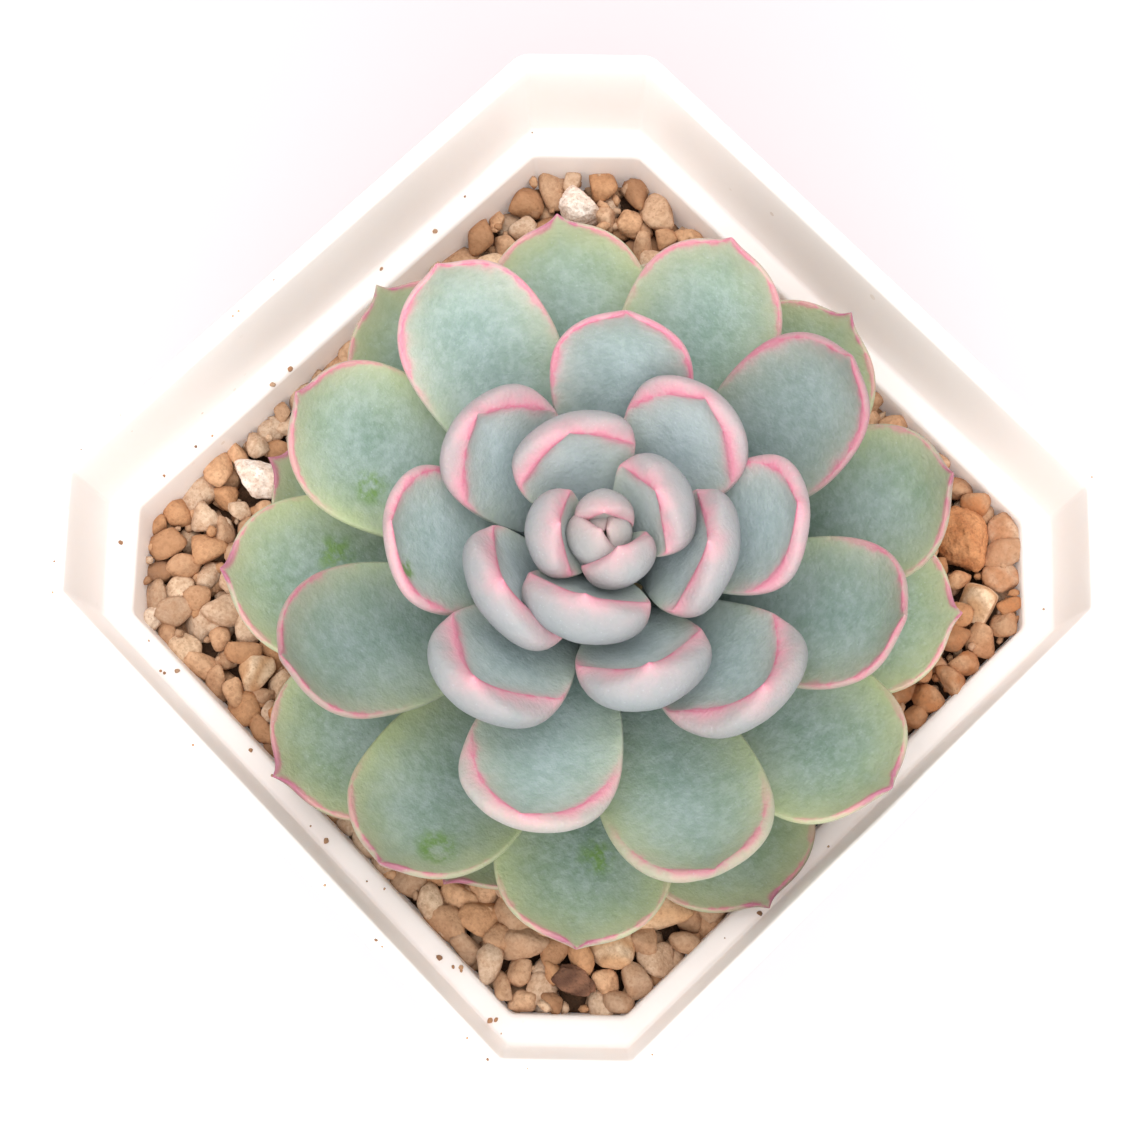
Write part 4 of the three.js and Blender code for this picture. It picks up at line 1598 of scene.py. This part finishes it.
@dataclass
class LooseStones:
    """The pieces that stand out on the grit, each shaped like its CAD node but finer."""

    divisions: int = 5
    lumpy: tuple[Slot, ...] = (Slot.CLUMP, Slot.PUMICE, Slot.BARK)
    lump_scales: tuple[float, ...] = (4.0, 7.0, 12.0, 20.0)
    lump_height: float = 0.22
    soft_edges: float = 6.0
    crisp_edges: float = 9.0
    first_seed: int = 300

    def shape(self, slot: Slot, random: np.random.Generator, directions: np.ndarray) -> np.ndarray:
        """A stone of unit half size.

        Args:
            slot: what sort of stone it is.
            random: the source of chance.
            directions: where to measure it.

        Returns:
            Its points.
        """
        sharp = self.soft_edges if slot in (Slot.CLUMP, Slot.PUMICE) else self.crisp_edges
        shape = stone_shapes(random, directions, 1, sharp)[0]
        shape /= np.ptp(shape, axis=0) / 2.0
        lumps = np.zeros(len(directions))
        if slot in self.lumpy:
            for scale in self.lump_scales:
                wave = random.normal(size=(3, 3)) * scale
                lumps += np.sin(directions @ wave).prod(1) * 0.9 / scale**0.8
        return shape * column(1.0 + self.lump_height * lumps)

    def build(self, materials: dict[Slot, bpy.types.Material]) -> None:
        """Makes every loose piece in place of its CAD node.

        Args:
            materials: the finish of each sort.
        """
        directions, triangles = ball(self.divisions)
        names = sorted(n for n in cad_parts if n.split("_")[0] in {s.value for s in materials})
        for number, name in enumerate(names):
            slot = Slot(name.split("_")[0])
            points = node_points(name)
            centre = (points.max(0) + points.min(0)) / 2.0
            _, _, axes = np.linalg.svd(points - points.mean(0), full_matrices=False)
            half = np.ptp((points - centre) @ axes.T, axis=0) / 2.0
            random = np.random.default_rng(self.first_seed + number)
            placed = centre + (self.shape(slot, random, directions) * half) @ axes
            tone = {Trace.TONE_AND_PAINTED_LIGHT: 0.5 + 0.5 * np.sin(directions @ random.normal(size=3) * 3.0)}
            faces = triangles.tolist()
            make_piece(f"{name}_detail", placed, faces, materials[slot], (name,), tone)


@dataclass
class Crumbs:
    """Specks of soil on the rim and the ledge."""

    count: int = 48
    divisions: int = 2
    sharpness: float = 7.0
    rim_share: int = 3  # one crumb in so many lies on the rim
    rim_sizes: tuple[float, float] = (0.08, 0.18)
    ledge_sizes: tuple[float, float, float] = (0.08, 0.12, 0.4)
    ledge_gap: float = 0.3
    gathered: tuple[float, float] = (0.62, 0.17)  # where round the pot most lie, and how spread out
    flatness: float = 0.7
    seed: int = 31

    def place(self, pot: Pot, number: int, random: np.random.Generator) -> tuple[list[float], float]:
        """Finds where a crumb lies.

        Args:
            pot: the pot that it lies on.
            number: the crumb's number.
            random: the source of chance.

        Returns:
            The place of the crumb's middle, and its half size.
        """
        on_rim = number % self.rim_share == 0
        half, height = pot.side / 2.0, pot.height
        inset = pot.rim_wall / 2.0
        if not on_rim:
            half, height = half - pot.collar_draft, height - pot.collar_depth
            inset = pot.rim_wall + random.uniform(self.ledge_gap, pot.ledge_width - self.ledge_gap)
        outline = pot.outline(half, inset)
        outline = np.concatenate([outline, outline[:1]])
        run = np.concatenate([[0.0], np.cumsum(np.linalg.norm(np.diff(outline, axis=0), axis=1))])
        place = (self.gathered[0] + random.normal(0.0, self.gathered[1])) % 1.0 * run[-1]
        here = [np.interp(place, run, outline[:, axis]) for axis in (0, 1)]
        size = random.uniform(*self.rim_sizes) if on_rim else random.triangular(*self.ledge_sizes)
        return [*here, height + size * 0.45], size

    def build(self, pot: Pot, material: bpy.types.Material) -> bpy.types.Object:
        """Makes the crumbs as one piece.

        Args:
            pot: the pot that they lie on.
            material: their finish.

        Returns:
            The new piece.
        """
        random = np.random.default_rng(self.seed)
        directions, triangles = ball(self.divisions)
        points = []
        for number, shape in enumerate(stone_shapes(random, directions, self.count, self.sharpness)):
            here, size = self.place(pot, number, random)
            points.append(shape * size * [1.0, 1.0, self.flatness] + here)
        faces = repeated_faces(triangles, len(directions), self.count)
        tones = np.repeat(random.uniform(0.0, 0.6, self.count), len(directions))
        traces = {Trace.TONE_AND_PAINTED_LIGHT: tones, Trace.EARTH: np.zeros(len(tones))}
        return make_piece("crumbs", np.concatenate(points), faces, material, (), traces)


# ---------------------------------------------------------------- studio


@dataclass(frozen=True)
class Lamp:
    """A round soft lamp that points at the pot: place and width in metres, and power."""

    name: str
    place: tuple[float, float, float]
    width: float
    power: float
    colour: tuple[float, float, float] = (1.0, 0.985, 0.97)

    def build(self) -> None:
        """Makes the lamp."""
        data = bpy.data.lights.new(self.name, "AREA")
        data.shape = "DISK"
        data.size = self.width
        data.energy = self.power
        data.color = self.colour
        lamp = bpy.data.objects.new(self.name, data)
        lamp.location = self.place
        lamp.rotation_euler = (-lamp.location).to_track_quat("-Z", "Y").to_euler()
        bpy.context.scene.collection.objects.link(lamp)


@dataclass
class Studio:
    """Camera, floor and soft light."""

    camera_place: tuple[float, float, float] = (49.26, -43.69, 314.29)
    camera_turn: tuple[float, float, float] = (14.70, 0.78, 46.159)
    lens: float = 78.1
    sensor: float = 36.0
    floor_colour: Colour = srgb(211, 203, 206)
    floor_reach: float = 1.5
    world: tuple[float, float, float, float] = (1.0, 0.985, 0.98, 1.0)
    world_strength: float = 0.96
    lamps: tuple[Lamp, ...] = (
        Lamp("key", (-0.05, 0.05, 0.75), 0.85, 3.9),
        Lamp("fill", (0.45, -0.45, 0.6), 0.9, 5.8),
    )

    def floor(self) -> None:
        """A pale floor under the pot."""
        material, _, _ = start_material("floor", {"Base Color": self.floor_colour, "Roughness": 0.9})
        mesh = bpy.data.meshes.new("floor")
        reach = self.floor_reach
        corners = [(-reach, -reach, 0), (reach, -reach, 0), (reach, reach, 0), (-reach, reach, 0)]
        mesh.from_pydata(corners, [], [(0, 1, 2, 3)])
        mesh.materials.append(material)
        floor = bpy.data.objects.new("floor", mesh)
        bpy.context.scene.collection.objects.link(floor)
        floor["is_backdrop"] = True

    def lights(self) -> None:
        """Even white surroundings and the lamps."""
        world = bpy.data.worlds.new("surroundings")
        world.use_nodes = True
        background = world.node_tree.nodes["Background"]
        background.inputs[0].default_value = self.world
        background.inputs[1].default_value = self.world_strength
        bpy.context.scene.world = world
        for lamp in self.lamps:
            lamp.build()

    def camera(self) -> None:
        """The camera, looking down on the rosette."""
        data = bpy.data.cameras.new("camera")
        data.lens = self.lens
        data.sensor_width = self.sensor
        data.clip_start = 0.01
        camera = bpy.data.objects.new("camera", data)
        camera.location = Vector(self.camera_place) * MM
        camera.rotation_euler = [math.radians(angle) for angle in self.camera_turn]
        bpy.context.scene.collection.objects.link(camera)
        bpy.context.scene.camera = camera

    def build(self) -> None:
        """Makes the studio."""
        self.floor()
        self.lights()
        self.camera()
        bpy.context.scene.view_settings.view_transform = "Standard"


def main() -> None:
    """Builds every sub-assembly in order."""
    logging.basicConfig(level=logging.INFO, format="%(message)s")
    effects = Effects()
    Studio().build()
    pot = Pot()
    pot.build(PlasticFinish().material(effects))
    Rosette().build(LeafFinish().material(effects))
    Stem().build(STEM_FINISH.material(effects))
    grit_material = GRIT_FINISH.material(effects)
    Grit().build(pot, grit_material, CORE_FINISH.material(effects))
    LooseStones().build({slot: finish.material(effects) for slot, finish in LOOSE_FINISHES.items()})
    Crumbs().build(pot, grit_material)
    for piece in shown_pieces():
        LOG.info("piece %s: %d faces", piece.name, len(piece.data.polygons))


if __name__ == "__main__":
    main()
